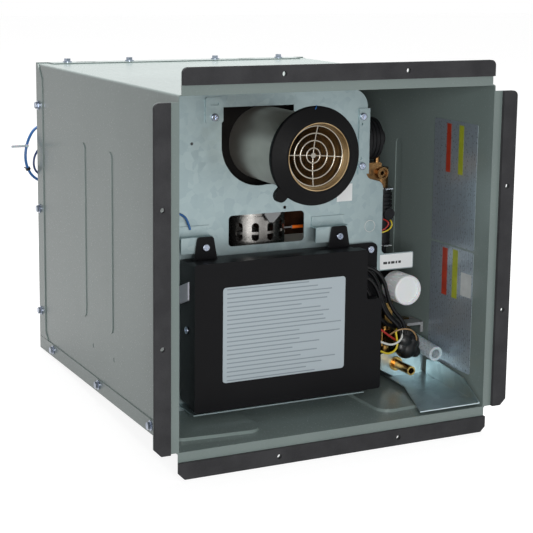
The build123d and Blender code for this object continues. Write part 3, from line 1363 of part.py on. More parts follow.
def fan_wheel():
    low = BLOWER_LOW + BLOWER_WALL + FAN_LOW_GAP
    high = BLOWER_TOP - BLOWER_WALL - FAN_TOP_GAP
    wheel = rod(MOTOR_X, MOTOR_DEPTH, high - FAN_DISC, UP, FAN_DISC, FAN_R)
    wheel += rod(MOTOR_X, MOTOR_DEPTH, low, UP, high - low, FAN_HUB_R)
    blade = block(FAN_R - FAN_BLADE_LENGTH, FAN_R - FAN_BLADE_THICK / 2, MOTOR_DEPTH - FAN_BLADE_THICK / 2,
                  MOTOR_DEPTH + FAN_BLADE_THICK / 2, low, high - FAN_DISC / 2)
    centre = Pos(MOTOR_X, y_at(MOTOR_DEPTH), 0)
    blade = Pos(0, -y_at(MOTOR_DEPTH), 0) * blade
    wheel += [centre * Rot(0, 0, index * 360 / FAN_BLADES) * blade for index in range(FAN_BLADES)]
    wheel += sleeve(MOTOR_X, MOTOR_DEPTH, low, UP, FAN_DISC, FAN_R, FAN_R - FAN_BLADE_LENGTH / 2)
    return wheel - rod(MOTOR_X, MOTOR_DEPTH, low, UP, high - low, SHAFT_R)


def can_slots(low):
    outline = Pos(MOTOR_DEPTH, low + CAN_SLOT_TALL / 2) * Rot(0, 0, 90) * SlotOverall(CAN_SLOT_TALL, CAN_SLOT_WIDTH)
    slot = Pos(0, -y_at(MOTOR_DEPTH), 0) * side_sheet(outline, CAN_R - 2 * CAN_WALL, 2 * CAN_WALL + OVERRUN)
    centre = Pos(MOTOR_X, y_at(MOTOR_DEPTH), 0)
    pitch = 360 / CAN_SLOT_COUNT
    return [centre * Rot(0, 0, CAN_SLOT_TURN + index * pitch) * slot for index in range(CAN_SLOT_COUNT)]


def motor_can():
    low = BLOWER_TOP
    tall = CAN_TOP - low
    inner = CAN_R - CAN_WALL
    can = rod(MOTOR_X, MOTOR_DEPTH, low, UP, tall, CAN_R)
    can -= rod(MOTOR_X, MOTOR_DEPTH, low + CAN_WALL, UP, tall - CAN_WALL - CAN_LID, inner)
    can -= rod(MOTOR_X, MOTOR_DEPTH, low, UP, tall, SHAFT_R + SHAFT_FIT)
    can -= sleeve(MOTOR_X, MOTOR_DEPTH, CAN_TOP - CAN_GROOVE_DROP, UP, CAN_GROOVE, CAN_R, CAN_R - CAN_GROOVE)
    can -= can_slots(low + CAN_SLOT_LOW)
    stator = sleeve(MOTOR_X, MOTOR_DEPTH, low + STATOR_LOW, UP, STATOR_TALL, inner, STATOR_BORE)
    band = sleeve(MOTOR_X, MOTOR_DEPTH, low + STATOR_BAND_LOW, UP, STATOR_BAND_TALL, inner, inner - STATOR_BAND_WIDE)
    return group([can, stator, band])


def motor_shaft():
    low = BLOWER_LOW + BLOWER_WALL + FAN_LOW_GAP
    shaft = rod(MOTOR_X, MOTOR_DEPTH, low, UP, CAN_TOP - low, SHAFT_R)
    core_low = BLOWER_TOP + STATOR_LOW
    return shaft + rod(MOTOR_X, MOTOR_DEPTH, core_low, UP, STATOR_TALL, STATOR_BORE - ROTOR_GAP)


def motor_clip():
    left = MOTOR_X - TAB_LEFT
    right = left + TAB_WIDTH
    tip = left + TAB_TIP_LEFT
    points = [
        (left, TAB_TOP), (left, TAB_SHOULDER), (tip, TAB_LOW), (tip + TAB_TIP, TAB_LOW), (right, TAB_SHOULDER),
        (right, TAB_TOP),
    ]
    clip = front_sheet(rounded(points, [0] * len(points)), PLATE_BACK, TAB_THICK)
    reach = MOTOR_DEPTH - CAN_R + 2 * TAB_THICK
    clip += block(left, right, PLATE_BACK, reach, CAN_TOP, CAN_TOP + TAB_FINGER)
    start = MOTOR_X + math.sqrt(CAN_R**2 - SENSE_ROD_BACK**2) + SENSE_PIN_GAP
    depth = MOTOR_DEPTH - SENSE_ROD_BACK
    sense = rod(start, depth, SENSE_ROD_Z, RIGHT, SENSE_PIN, SENSE_PIN_R)
    sense += rod(start + SENSE_PIN, depth, SENSE_ROD_Z, RIGHT, SENSE_ROD_LENGTH, SENSE_ROD_R)
    return group([clip, sense])


# Air pressure switch
def air_pressure_switch():
    body = rod(STRIP_RIGHT, SWITCH_DEPTH, SWITCH_Z, RIGHT, SWITCH_DISC, SWITCH_DISC_R)
    start = STRIP_RIGHT + SWITCH_DISC
    body += rod(start, SWITCH_DEPTH, SWITCH_Z, RIGHT, SWITCH_BODY, SWITCH_BODY_R)
    pitch = SWITCH_BODY / (SWITCH_GROOVE_COUNT + 1)
    for index in range(SWITCH_GROOVE_COUNT):
        x = start + pitch * (index + 1) - SWITCH_GROOVE / 2
        body -= sleeve(x, SWITCH_DEPTH, SWITCH_Z, RIGHT, SWITCH_GROOVE, SWITCH_BODY_R, SWITCH_BODY_R - SWITCH_GROOVE)
    body += rod(start + SWITCH_BODY, SWITCH_DEPTH, SWITCH_Z, RIGHT, SWITCH_NOSE, SWITCH_NOSE_R)
    body += rod(start + SWITCH_BODY / 2, SWITCH_DEPTH, SWITCH_Z, REAR, SWITCH_BODY_R + SWITCH_PORT, SWITCH_PORT_R)
    return body


# Water column: filter, flow sensor and outlet
def filter_housing():
    body = rod(COLUMN_X, FILTER_FRONT, FILTER_Z, REAR, FILTER_LENGTH, FILTER_R)
    body += rod(SENSOR_X, COLUMN_DEPTH, FILTER_Z, UP, SENSOR_LOW - FILTER_Z, FILTER_PORT_R)
    body += rod(DRAIN_X, DRAIN_DEPTH, DRAIN_HEX_TOP, UP, FILTER_Z - DRAIN_HEX_TOP, DRAIN_R)
    body -= rod(COLUMN_X, FILTER_FRONT, FILTER_Z, REAR, FILTER_LENGTH - FILTER_BACK_WALL, FILTER_BORE)
    body -= rod(SENSOR_X, COLUMN_DEPTH, FILTER_Z, UP, SENSOR_LOW - FILTER_Z, SENSOR_BORE - SHEET)
    back = FILTER_FRONT + FILTER_LENGTH - FILTER_BACK_WALL
    return body - rod(COLUMN_X, back, FILTER_Z, REAR, FILTER_BACK_WALL, PIPE_R - PIPE_WALL)


def filter_cap():
    cap = rod(COLUMN_X, CAP_FRONT, FILTER_Z, REAR, CAP_BODY, CAP_R)
    cap = fillet(cap.edges().group_by(Axis.Y)[0], CAP_EDGE)
    cap -= rod(COLUMN_X, CAP_FRONT, FILTER_Z, REAR, CAP_SINK, CAP_SINK_R)
    grooves = []
    for index in range(CAP_RIBS):
        angle = 2 * math.pi * index / CAP_RIBS
        x = COLUMN_X + CAP_R * math.cos(angle)
        z = FILTER_Z + CAP_R * math.sin(angle)
        grooves.append(rod(x, CAP_FRONT + CAP_EDGE, z, REAR, CAP_BODY / 2, CAP_RIB_R))
    cap -= grooves
    stub = STRAINER_STUB_R + STRAINER_FIT
    return cap - rod(COLUMN_X, CAP_BACK - CAP_BODY / 2, FILTER_Z, REAR, CAP_BODY / 2, stub)


def filter_strainer():
    start = CAP_BACK + SEAT
    basket = sleeve(COLUMN_X, start, FILTER_Z, REAR, STRAINER_LENGTH, STRAINER_R, STRAINER_R - STRAINER_WALL)
    basket += rod(COLUMN_X, start, FILTER_Z, REAR, STRAINER_WALL * 2, STRAINER_R)
    depth = CAP_BACK - CAP_BODY / 2 + STRAINER_FIT
    basket += rod(COLUMN_X, depth, FILTER_Z, REAR, start - depth + STRAINER_WALL, STRAINER_STUB_R)
    pitch = (STRAINER_LENGTH - STRAINER_WALL * 2) / (STRAINER_ROW_COUNT + 1)
    holes = []
    for row in range(STRAINER_ROW_COUNT):
        for index in range(STRAINER_HOLES // 2):
            angle = 2 * math.pi * index / STRAINER_HOLES
            direction = (math.cos(angle), 0, math.sin(angle))
            bore = place(COLUMN_X, start + STRAINER_WALL * 2 + pitch * (row + 1), FILTER_Z, direction)
            holes.append(bore * Cylinder(STRAINER_HOLE_R, 2 * STRAINER_R + OVERRUN))
    return basket - holes


def spider(z):
    hub = rod(SENSOR_X, COLUMN_DEPTH, z, UP, SPIDER_THICK, SPIDER_HUB_R)
    reach = SENSOR_BORE + SPIDER_WIDTH / 2
    hub += block(SENSOR_X - reach, SENSOR_X + reach, COLUMN_DEPTH - SPIDER_WIDTH / 2,
                 COLUMN_DEPTH + SPIDER_WIDTH / 2, z, z + SPIDER_THICK)
    return hub - rod(SENSOR_X, COLUMN_DEPTH, z, UP, SPIDER_THICK, TURBINE_SHAFT_R + SHAFT_FIT)


def turbine_span():
    middle = (SENSOR_LOW + SENSOR_TOP) / 2
    return middle - TURBINE_LENGTH / 2, middle + TURBINE_LENGTH / 2


def flow_sensor_body():
    tall = SENSOR_TOP - SENSOR_LOW
    body = rod(SENSOR_X, COLUMN_DEPTH, SENSOR_LOW, UP, tall, SENSOR_R)
    front = COLUMN_DEPTH - SENSOR_R - SENSOR_DOME_OUT
    body += rod(SENSOR_X + SENSOR_DOME_SHIFT, front, SENSOR_DOME_Z, REAR, SENSOR_R, SENSOR_DOME_R)
    for index in range(SENSOR_RIBS):
        z = SENSOR_RIB_LOW + index * SENSOR_RIB_PITCH
        body += rod(SENSOR_X, COLUMN_DEPTH, z, UP, SENSOR_RIB_THICK, SENSOR_R + SENSOR_RIB_RISE)
    body -= rod(SENSOR_X, COLUMN_DEPTH, SENSOR_LOW, UP, tall, SENSOR_BORE)
    low, high = turbine_span()
    return body + spider(low - TURBINE_END_GAP - SPIDER_THICK) + spider(high + TURBINE_END_GAP)


def flow_turbine():
    low, high = turbine_span()
    end = SPIDER_THICK + TURBINE_END_GAP
    rotor = rod(SENSOR_X, COLUMN_DEPTH, low - end, UP, high - low + 2 * end, TURBINE_SHAFT_R)
    rotor += rod(SENSOR_X, COLUMN_DEPTH, low, UP, high - low, TURBINE_HUB_R)
    blade = block(0, SENSOR_BORE - TURBINE_TIP_GAP, COLUMN_DEPTH - TURBINE_BLADE_THICK / 2,
                  COLUMN_DEPTH + TURBINE_BLADE_THICK / 2, low, high)
    blade = Pos(0, -y_at(COLUMN_DEPTH), 0) * blade
    centre = Pos(SENSOR_X, y_at(COLUMN_DEPTH), 0)
    return rotor + [centre * Rot(0, 0, index * 360 / TURBINE_BLADES) * blade for index in range(TURBINE_BLADES)]


def sensor_clips():
    clips = []
    for z in (SENSOR_LOW - HAIRPIN_GAP - HAIRPIN_SHEET, SENSOR_TOP + HAIRPIN_GAP):
        clip = sleeve(SENSOR_X, COLUMN_DEPTH, z, UP, HAIRPIN_SHEET, HAIRPIN_R, FILTER_PORT_R + HAIRPIN_GAP)
        front = COLUMN_DEPTH - HAIRPIN_R
        clip += block(SENSOR_X - HAIRPIN_TAIL_LEFT, SENSOR_X + HAIRPIN_TAIL_RIGHT, front - HAIRPIN_TAIL / 2,
                      front + HAIRPIN_SHEET * 2, z, z + HAIRPIN_SHEET)
        clips.append(clip)
    return group(clips)


def outlet_elbow():
    left = SENSOR_X - ELBOW_LEFT
    right = SENSOR_X - ELBOW_RIGHT_GAP
    front = COLUMN_DEPTH - ELBOW_FRONT
    back = COLUMN_DEPTH + ELBOW_BACK
    step = ELBOW_TOP - ELBOW_CAP
    cap = block(left, right, front, back, step, ELBOW_TOP)
    body = fillet(cap.edges().filter_by(Axis.Y), ELBOW_EDGE)
    body += block(left, right, front + ELBOW_SET_BACK, back, ELBOW_LOW, step + ELBOW_EDGE)
    body += rod(SENSOR_X, COLUMN_DEPTH, SENSOR_TOP, UP, step - SENSOR_TOP, FILTER_PORT_R)
    port_x = SENSOR_X - ELBOW_PORT_SHIFT
    port_z = ELBOW_LOW + ELBOW_PORT_RISE
    start = front - ELBOW_PORT_OUT
    body += rod(port_x, start, port_z, REAR, ELBOW_FRONT, ELBOW_PORT_R)
    tip_depth = front + ELBOW_TIP_R + HAIRPIN_GAP
    body += rod(SENSOR_X - ELBOW_TIP_SHIFT, tip_depth, ELBOW_TOP, UP, ELBOW_TIP, ELBOW_TIP_R)
    body -= rod(port_x, start, port_z, REAR, ELBOW_PORT_SINK, ELBOW_PORT_BORE)
    body -= rod(port_x, start, port_z, REAR, ELBOW_FRONT, ELBOW_PORT_HOLE)
    body -= rod(SENSOR_X, COLUMN_DEPTH, SENSOR_TOP, UP, PIPE_Z - SENSOR_TOP, SENSOR_BORE - SHEET)
    bore = PIPE_R - PIPE_WALL
    body -= rod(SENSOR_X, COLUMN_DEPTH, PIPE_Z, LEFT, SENSOR_X - OUTLET_X, bore)
    return body - rod(OUTLET_X, COLUMN_DEPTH, PIPE_Z, REAR, ELBOW_BACK, bore)


# Drain valve, nipple, relief valve and tray
def drain_body():
    body = rod(DRAIN_X, DRAIN_DEPTH, DRAIN_FOOT_LOW, UP, DRAIN_HEX_TOP - DRAIN_FOOT_LOW, DRAIN_R)
    body += hexagon(DRAIN_X, DRAIN_DEPTH, DRAIN_HEX_LOW, UP, DRAIN_HEX_TOP - DRAIN_HEX_LOW, DRAIN_HEX_R)
    tee = block(DRAIN_X - TEE_WIDTH / 2, DRAIN_X + TEE_WIDTH / 2, TEE_FRONT, TEE_BACK, TEE_LOW, TEE_LOW + TEE_TALL)
    body += fillet(tee.edges().filter_by(Axis.Z), TEE_EDGE)
    left = NIPPLE_X - TEE_WIDTH / 2
    foot = block(left, left + TEE_WIDTH, TEE_FRONT, DRAIN_DEPTH + DRAIN_R, DRAIN_FOOT_LOW,
                 DRAIN_FOOT_LOW + DRAIN_FOOT_TALL)
    return body + fillet(foot.edges().filter_by(Axis.Z), TEE_EDGE)


def drain_nipple():
    length = TEE_FRONT - NIPPLE_FRONT
    body = rod(NIPPLE_X, NIPPLE_FRONT, NIPPLE_Z, REAR, length, NIPPLE_R)
    body += rod(NIPPLE_X, PLATE_DEPTH - NIPPLE_FLANGE, NIPPLE_Z, REAR, NIPPLE_FLANGE, NIPPLE_FLANGE_R)
    return body - rod(NIPPLE_X, NIPPLE_FRONT, NIPPLE_Z, REAR, length, NIPPLE_BORE)


def drain_valve():
    return group([drain_body(), drain_nipple()])


def tube_ends():
    back = Vector(RELIEF_X, y_at(RELIEF_FRONT), RELIEF_Z - TUBE_BACK_DROP)
    front = Vector(RELIEF_X - TUBE_FRONT_SHIFT, y_at(TUBE_FRONT_DEPTH), RELIEF_Z - TUBE_FRONT_DROP)
    return back, front


def lever_pivot():
    return RELIEF_FRONT + RELIEF_BOSS[1] / 2 + TUBE_START, RELIEF_Z + LEVER_PIVOT_RISE


def relief_valve():
    body = rod(RELIEF_X, RELIEF_FRONT, RELIEF_Z, REAR, RELIEF_LENGTH, RELIEF_R)
    edge = DRAIN_X + TEE_WIDTH / 2
    body += rod(edge, TEE_BACK - RELIEF_R, RELIEF_Z, RIGHT, RELIEF_X - edge, RELIEF_SPIGOT_R)
    depth, z = lever_pivot()
    wide, deep, tall = RELIEF_BOSS
    body += block(RELIEF_X - wide / 2, RELIEF_X + wide / 2, depth - deep / 2, depth + deep / 2, RELIEF_Z,
                  RELIEF_Z + RELIEF_R + tall)
    body -= rod(RELIEF_X - wide, depth, z, RIGHT, 2 * wide, LEVER_PIN_R + LEVER_FIT)
    back, front = tube_ends()
    nose = Plane(origin=back, z_dir=front - back)
    return body + nose.location * Pos(0, 0, -RELIEF_NOSE_R) * Cylinder(RELIEF_NOSE_R, RELIEF_NOSE, align=BASE)


def relief_lever():
    depth, z = lever_pivot()
    low = z - LEVER_TALL / 2
    high = z + LEVER_TALL / 2
    left = RELIEF_X - LEVER_WIDTH / 2
    right = RELIEF_X + LEVER_WIDTH / 2
    tip = depth - LEVER_REACH
    lever = block(left, right, tip, depth - LEVER_TOP_GAP, high - LEVER_SHEET, high)
    for x in (left, right - LEVER_SHEET):
        lever += block(x, x + LEVER_SHEET, tip + LEVER_REACH / 2, depth + LEVER_TAIL, low, high)
    lever += block(left, right, tip, tip + LEVER_SHEET, high - 2 * LEVER_SHEET, high)
    lever += block(right - LEVER_HOOK, right, tip, tip + LEVER_SHEET, low - LEVER_HOOK_DROP, high)
    return lever + rod(left, depth, z, RIGHT, LEVER_WIDTH, LEVER_PIN_R)


def relief_tube():
    back, front = tube_ends()
    along = Plane(origin=back, z_dir=front - back).location * Pos(0, 0, TUBE_START + TUBE_R / 4)
    length = (front - back).length - TUBE_START - TUBE_R / 4
    return along * (Cylinder(TUBE_R, length, align=BASE) - Cylinder(TUBE_BORE, length, align=BASE))


def drip_tray():
    left = INNER - TRAY_LEFT_GAP
    right = INNER - TRAY_SIDE_GAP
    notch = INNER - TRAY_NOTCH_GAP
    back = PLATE_DEPTH + TRAY_BACK
    slope = TRAY_RISE / PLATE_DEPTH
    rise = slope * (back - TRAY_FRONT)
    profile = [(TRAY_FRONT, PAD_TOP), (back, PAD_TOP + rise), (back, PAD_TOP + rise + TRAY_SHEET),
               (TRAY_FRONT, PAD_TOP + TRAY_SHEET)]
    floor = side_sheet(rounded(profile, [0] * len(profile)), left, right - left)
    outline = [(left, TRAY_FRONT), (right, TRAY_FRONT), (right, back), (notch, back), (notch, TRAY_NOTCH_DEPTH)]
    floor = floor & floor_sheet(rounded(outline, [0] * len(outline)), 0, CASING_HEIGHT)
    edge = [(depth, PAD_TOP + slope * depth + rise_at) for depth, rise_at in zip(TRAY_EDGE_DEPTHS, TRAY_EDGE_HEIGHTS)]
    low = [(depth, PAD_TOP + slope * (depth - TRAY_FRONT)) for depth in reversed((TRAY_EDGE_DEPTHS[0],
                                                                              TRAY_EDGE_DEPTHS[-1]))]
    points = edge + low
    floor += side_sheet(rounded(points, [0] * len(points)), right - TRAY_SHEET, TRAY_SHEET)
    x0 = INNER - TRAY_PLATE_LEFT_GAP
    x1 = INNER - TRAY_PLATE_RIGHT_GAP
    base = PAD_TOP + slope * PLATE_DEPTH
    notch_top = base + TRAY_PLATE_RISE
    upright = [(x0 + TRAY_PLATE_BEVEL, base), (x1, base), (x1, TRAY_PLATE_TOP), (x0, TRAY_PLATE_TOP), (x0, notch_top)]
    floor += front_sheet(rounded(upright, [0] * len(upright)), PLATE_DEPTH, TRAY_SHEET)
    return floor - rod(NIPPLE_X, PLATE_DEPTH, NIPPLE_Z, REAR, TRAY_SHEET, NIPPLE_R + NIPPLE_FIT)


def wall_label():
    films = []
    low = FILM_LOW
    for tall in FILM_TALLS:
        outline = rectangle(FILM_FRONT, FILM_BACK, low, low + tall, FILM_CORNER)
        films.append(side_sheet(outline, INNER - FILM_THICK, FILM_THICK))
        low += tall + FILM_PARTING
    return group(films)


# Gas valve, pipes and rear fittings
def gas_valve_body():
    x1 = VALVE_LEFT + VALVE_WIDTH
    back = VALVE_FRONT + VALVE_LONG
    body = block(VALVE_LEFT, x1, VALVE_FRONT, back, VALVE_LOW, VALVE_TOP)
    body = fillet(body.edges().filter_by(Axis.Z), VALVE_EDGE)
    inset = VALVE_FOOT_INSET
    for x in (VALVE_LEFT + inset, x1 - inset - VALVE_FOOT):
        body += block(x, x + VALVE_FOOT, VALVE_FRONT + inset, back - inset, PAD_TOP, VALVE_LOW)
    low = VALVE_TOP - PLUNGER_LOW - PLUNGER_TRAVEL
    return body - rod(SOLENOID_X, SOLENOID_DEPTH, low, UP, VALVE_TOP - low, SOLENOID_BORE + PLUNGER_FIT)


def gas_solenoid():
    can = rod(SOLENOID_X, SOLENOID_DEPTH, VALVE_TOP, UP, SOLENOID_TALL, SOLENOID_R)
    bore = rod(SOLENOID_X, SOLENOID_DEPTH, VALVE_TOP, UP, SOLENOID_TALL - SOLENOID_CAP, SOLENOID_BORE + PLUNGER_FIT)
    return can - bore


def solenoid_plunger():
    return rod(SOLENOID_X, SOLENOID_DEPTH, VALVE_TOP - PLUNGER_LOW, UP, PLUNGER_LENGTH, SOLENOID_BORE)


def fitting_end():
    return CASING_DEPTH + FITTING_SEAT


def gas_pipe():
    start = VALVE_FRONT + VALVE_LONG
    return sleeve(GAS_X, start, GAS_Z, REAR, fitting_end() - start, PIPE_R, PIPE_R - PIPE_WALL)


def cold_pipe():
    start = FILTER_FRONT + FILTER_LENGTH
    return sleeve(COLUMN_X, start, FILTER_Z, REAR, fitting_end() - start, PIPE_R, PIPE_R - PIPE_WALL)


def hot_pipe():
    row = pipe_rows()[-1]
    route = [(CORE_RIGHT + PIPE_STUB, row, PIPE_Z), (HOT_X, row, PIPE_Z), (HOT_X, fitting_end(), PIPE_Z)]
    solid, length = tube(route, PIPE_R, PIPE_R - PIPE_WALL, [HOT_BEND])
    print("hot_pipe length", round(length, 1))
    return solid


def rear_fittings():
    pieces = []
    for x, z in pipe_places():
        piece = hexagon(x, BACK - FITTING_NUT, z, REAR, FITTING_NUT, FITTING_HEX_R)
        piece += rod(x, BACK, z, REAR, SHEET, FITTING_THREAD_R)
        piece += hexagon(x, CASING_DEPTH, z, REAR, FITTING_FLANGE, FITTING_HEX_R)
        piece += rod(x, CASING_DEPTH + FITTING_FLANGE, z, REAR, FITTING_THREAD, FITTING_THREAD_R)
        piece -= rod(x, BACK - FITTING_NUT, z, REAR, fitting_end() - BACK + FITTING_NUT, PIPE_R + FITTING_BORE_FIT)
        piece -= rod(x, fitting_end(), z, REAR, FITTING_THREAD, PIPE_R - PIPE_WALL)
        pieces.append(piece)
    return group(pieces)


# Cables that stay inside the mouth
def taped_bundle():
    body = rod(BUNDLE_X, BUNDLE_DEPTH, BUNDLE_LOW, UP, BUNDLE_TOP - BUNDLE_LOW, BUNDLE_R)
    body = fillet(body.edges().group_by(Axis.Z)[0], BUNDLE_EDGE)
    middle = (BUNDLE_LOW + BUNDLE_TOP) / 2
    return body + rod(BUNDLE_X, BUNDLE_DEPTH, middle - BUNDLE_EDGE, UP, BUNDLE_EDGE * 2, BUNDLE_R + BUNDLE_BULGE)


def cable_bundle():
    bundle = taped_bundle()
    cables = [cord(f"cable {index + 1}", route, CABLE_R) for index, route in enumerate(CABLE_ROUTES)]
    return group([cable - bundle for cable in cables])


def coloured_wires():
    bundle = taped_bundle()
    wires = [cord(f"wire {index + 1}", route, WIRE_R) for index, route in enumerate(WIRE_ROUTES)]
    return group([wire - bundle for wire in wires])


# Leads that hang free at the back
def rear_grommets():
    pieces = []
    for x, z in GROMMET_PLACES:
        piece = rod(x, BACK - GROMMET_LIP, z, REAR, GROMMET_LIP, GROMMET_R)
        piece += rod(x, BACK, z, REAR, SHEET, GROMMET_NECK_R)
        pieces.append(piece + rod(x, CASING_DEPTH, z, REAR, GROMMET_LIP, GROMMET_R))
    return group(pieces)


def behind(route):
    return [(x, CASING_DEPTH + out, z) for x, out, z in route]


def rear_lead_outer():
    return cord("rear_lead_outer", behind(LEAD_OUTER_ROUTE), LEAD_R)


def rear_lead_inner():
    return cord("rear_lead_inner", behind(LEAD_INNER_ROUTE), LEAD_THIN_R)


def lead_band(first, second):
    start = Vector(first[0], y_at(first[1]), first[2])
    end = Vector(second[0], y_at(second[1]), second[2])
    middle = (start + end) / 2
    band = Plane(origin=middle, z_dir=end - start).location
    outer = LEAD_R + TIE_FIT + TIE_WALL
    ring = Pos(0, 0, -TIE_WIDE / 2) * (Cylinder(outer, TIE_WIDE, align=BASE)
                                       - Cylinder(LEAD_R + TIE_FIT, TIE_WIDE, align=BASE))
    return middle, band * ring


def lead_ties():
    reach = LEAD_R + TIE_FIT
    route = behind(LEAD_OUTER_ROUTE)
    middle, tie = lead_band(route[7], route[8])
    tail = Pos(middle.X, middle.Y + reach + (TIE_WALL + TIE_TAIL) / 2, middle.Z) * Box(TIE_WIDE, TIE_TAIL, TIE_WALL)
    tag_middle, tag_ring = lead_band(route[5], route[6])
    tag_x = tag_middle.X - reach - (TIE_WALL + TAG_LENGTH) / 2
    tag = Pos(tag_x, tag_middle.Y, tag_middle.Z) * Box(TAG_LENGTH, TAG_THICK, TIE_WIDE)
    return group([tie + tail, tag_ring + tag])


PIECES = (
    casing_wrap, bottom_pan, rear_cover, casing_screws, foam_strips, mount_plate, plate_brackets, plate_screws,
    plate_labels, box_supports, control_box_cover, control_box_base, circuit_board, rating_plate,
    side_sleeve, flue_outer_tube, flue_seal_ring, flue_inner_tube, flue_guard, exhaust_hood, heat_exchanger_shell,
    heat_exchanger_fins, heat_exchanger_pipes, burner_box, burner_bars, gas_manifold, spark_electrodes,
    blower_housing, fan_wheel, motor_can, motor_shaft, motor_clip, air_pressure_switch, filter_housing, filter_cap,
    filter_strainer, flow_sensor_body, flow_turbine, sensor_clips, outlet_elbow, drain_valve,
    relief_valve, relief_lever, relief_tube, drip_tray, wall_label, gas_valve_body, gas_solenoid,
    solenoid_plunger, gas_pipe, cold_pipe, hot_pipe, rear_fittings, taped_bundle, cable_bundle, coloured_wires,
    rear_grommets, rear_lead_outer, rear_lead_inner, lead_ties,
)


def main():
    os.makedirs("parts", exist_ok=True)
    for piece in PIECES:
        export_step(piece(), f"parts/{piece.__name__}.step")


main()
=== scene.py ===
# %% [markdown]
# # A caravan water heater, dressed over its solids
# The solid parts of this heater come ready made and already stand in their places. Blender gives
# them their finishes and adds the soft and thin pieces: leads, wires, ties, printed bars. Nothing
# that comes from the frame is moved, and every place below ends up in the frame's own metres.

# %% Load the frame
import json
import math

import bmesh
import bpy
from mathutils import Matrix, Vector


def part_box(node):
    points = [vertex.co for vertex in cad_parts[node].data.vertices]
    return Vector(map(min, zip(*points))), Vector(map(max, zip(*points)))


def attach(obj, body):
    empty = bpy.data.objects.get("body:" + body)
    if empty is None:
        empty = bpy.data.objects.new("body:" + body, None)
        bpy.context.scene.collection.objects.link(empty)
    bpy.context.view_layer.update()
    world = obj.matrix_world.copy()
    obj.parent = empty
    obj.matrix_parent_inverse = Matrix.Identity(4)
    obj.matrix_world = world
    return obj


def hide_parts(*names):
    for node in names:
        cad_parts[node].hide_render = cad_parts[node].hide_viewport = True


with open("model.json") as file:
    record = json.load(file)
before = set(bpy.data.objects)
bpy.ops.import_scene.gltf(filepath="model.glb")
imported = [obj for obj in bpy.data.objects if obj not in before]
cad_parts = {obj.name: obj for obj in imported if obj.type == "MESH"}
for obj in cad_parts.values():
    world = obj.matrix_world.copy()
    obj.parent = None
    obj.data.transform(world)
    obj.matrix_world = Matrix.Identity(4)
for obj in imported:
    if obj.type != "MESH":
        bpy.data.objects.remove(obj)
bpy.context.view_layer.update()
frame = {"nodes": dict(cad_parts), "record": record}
NODES = frame["nodes"]

# %% [markdown]
# A shop drawing of a built-in appliance counts depth from the mouth, because the mouth is what the
# fitter sees. The frame counts from the middle of the casing. One small function turns a drawing
# place in millimetres (across, depth behind the mouth, height) into the frame's metres.

# %% Drawing places to metres
HALF_DEPTH_MM = 192.5


def at(x, depth, z):
    """A drawing place in millimetres as a frame point in metres."""
    return Vector((x / 1000, (depth - HALF_DEPTH_MM) / 1000, z / 1000))


print("middle of the mouth is", [round(v, 3) for v in at(0, 0, 156)])

# %% [markdown]
# The picture was taken with a long lens from the left, a little above the roof. A camera can be
# aimed by eye or worked out from the corners of the casing. Working it out is better here, since
# the casing is a plain box with six good corners: they give the place, the two angles, the slight
# roll and the focal length, and every other piece can then be checked by overlaying.

# %% Camera
EYE = at(-626.0, -1094.1, 422.7)
YAW = math.radians(26.65)
PITCH = math.radians(9.80)
ROLL = math.radians(0.67)
SENSOR_MM = 36.0
FRAME_PIXELS = 533.0
FOCAL_PIXELS = 1431.3
AXIS_ROW = 208.0  # the pixel row that the lens axis meets
CLIP_START = 0.05

camera_data = bpy.data.cameras.new("camera")
camera_data.sensor_width = SENSOR_MM
camera_data.lens = FOCAL_PIXELS / FRAME_PIXELS * SENSOR_MM
camera_data.shift_y = AXIS_ROW / FRAME_PIXELS - 0.5
camera_data.clip_start = CLIP_START
camera = bpy.data.objects.new("camera", camera_data)
bpy.context.scene.collection.objects.link(camera)
bpy.context.scene.camera = camera

forward = Vector((math.sin(YAW) * math.cos(PITCH), math.cos(YAW) * math.cos(PITCH),
                  -math.sin(PITCH)))
level = Vector((math.cos(YAW), -math.sin(YAW), 0.0))
upright = level.cross(forward)
right = level * math.cos(ROLL) + upright * math.sin(ROLL)
up = upright * math.cos(ROLL) - level * math.sin(ROLL)
turn = Matrix((right, up, -forward)).transposed()
camera.matrix_world = Matrix.Translation(EYE) @ turn.to_4x4()
print("lens", round(camera_data.lens, 1), "mm, shift", round(camera_data.shift_y, 3))

# %% [markdown]
# Every finish below is a small net of shader nodes. Colours are easier to pick and compare as sRGB
# hex codes, and shaders count in linear light, so one function turns the one into the other.
# A second function adds any node with its settings and links, which keeps each net readable.

# %% Colour and node helpers
def linear(code):
    """An sRGB hex colour as the linear values that a shader takes."""
    parts = [int(code[i:i + 2], 16) / 255 for i in (1, 3, 5)]
    return [p / 12.92 if p <= 0.04045 else ((p + 0.055) / 1.055) ** 2.4 for p in parts] + [1.0]


def add(tree, kind, inputs=None, **settings):
    """Add a shader node, with its settings, and link or fill the inputs that are given."""
    made = tree.nodes.new("ShaderNode" + kind)
    for key, value in settings.items():
        setattr(made, key, value)
    for key, value in (inputs or {}).items():
        if isinstance(value, bpy.types.NodeSocket):
            tree.links.new(value, made.inputs[key])
        else:
            made.inputs[key].default_value = value
    return made


def per_metre(size_mm):
    """How often a feature of this size repeats in a metre."""
    return 1000.0 / size_mm


print("mid grey is", [round(v, 3) for v in linear("#808080")])

# %% [markdown]
# Most surfaces here share one build: a base colour that drifts a little over some centimetres, a
# fine grain that changes the gloss, and the same grain as a shallow relief. The grain can be
# stretched one way, which turns it into brushing or drawing marks. Sizes are real millimetres.

# %% The common build of a finish
DRIFT_SPAN = (0.35, 0.65)  # noise keeps near its middle, so these ends are stretched to 0 and 1
GRAIN_SPAN = (0.3, 0.7)


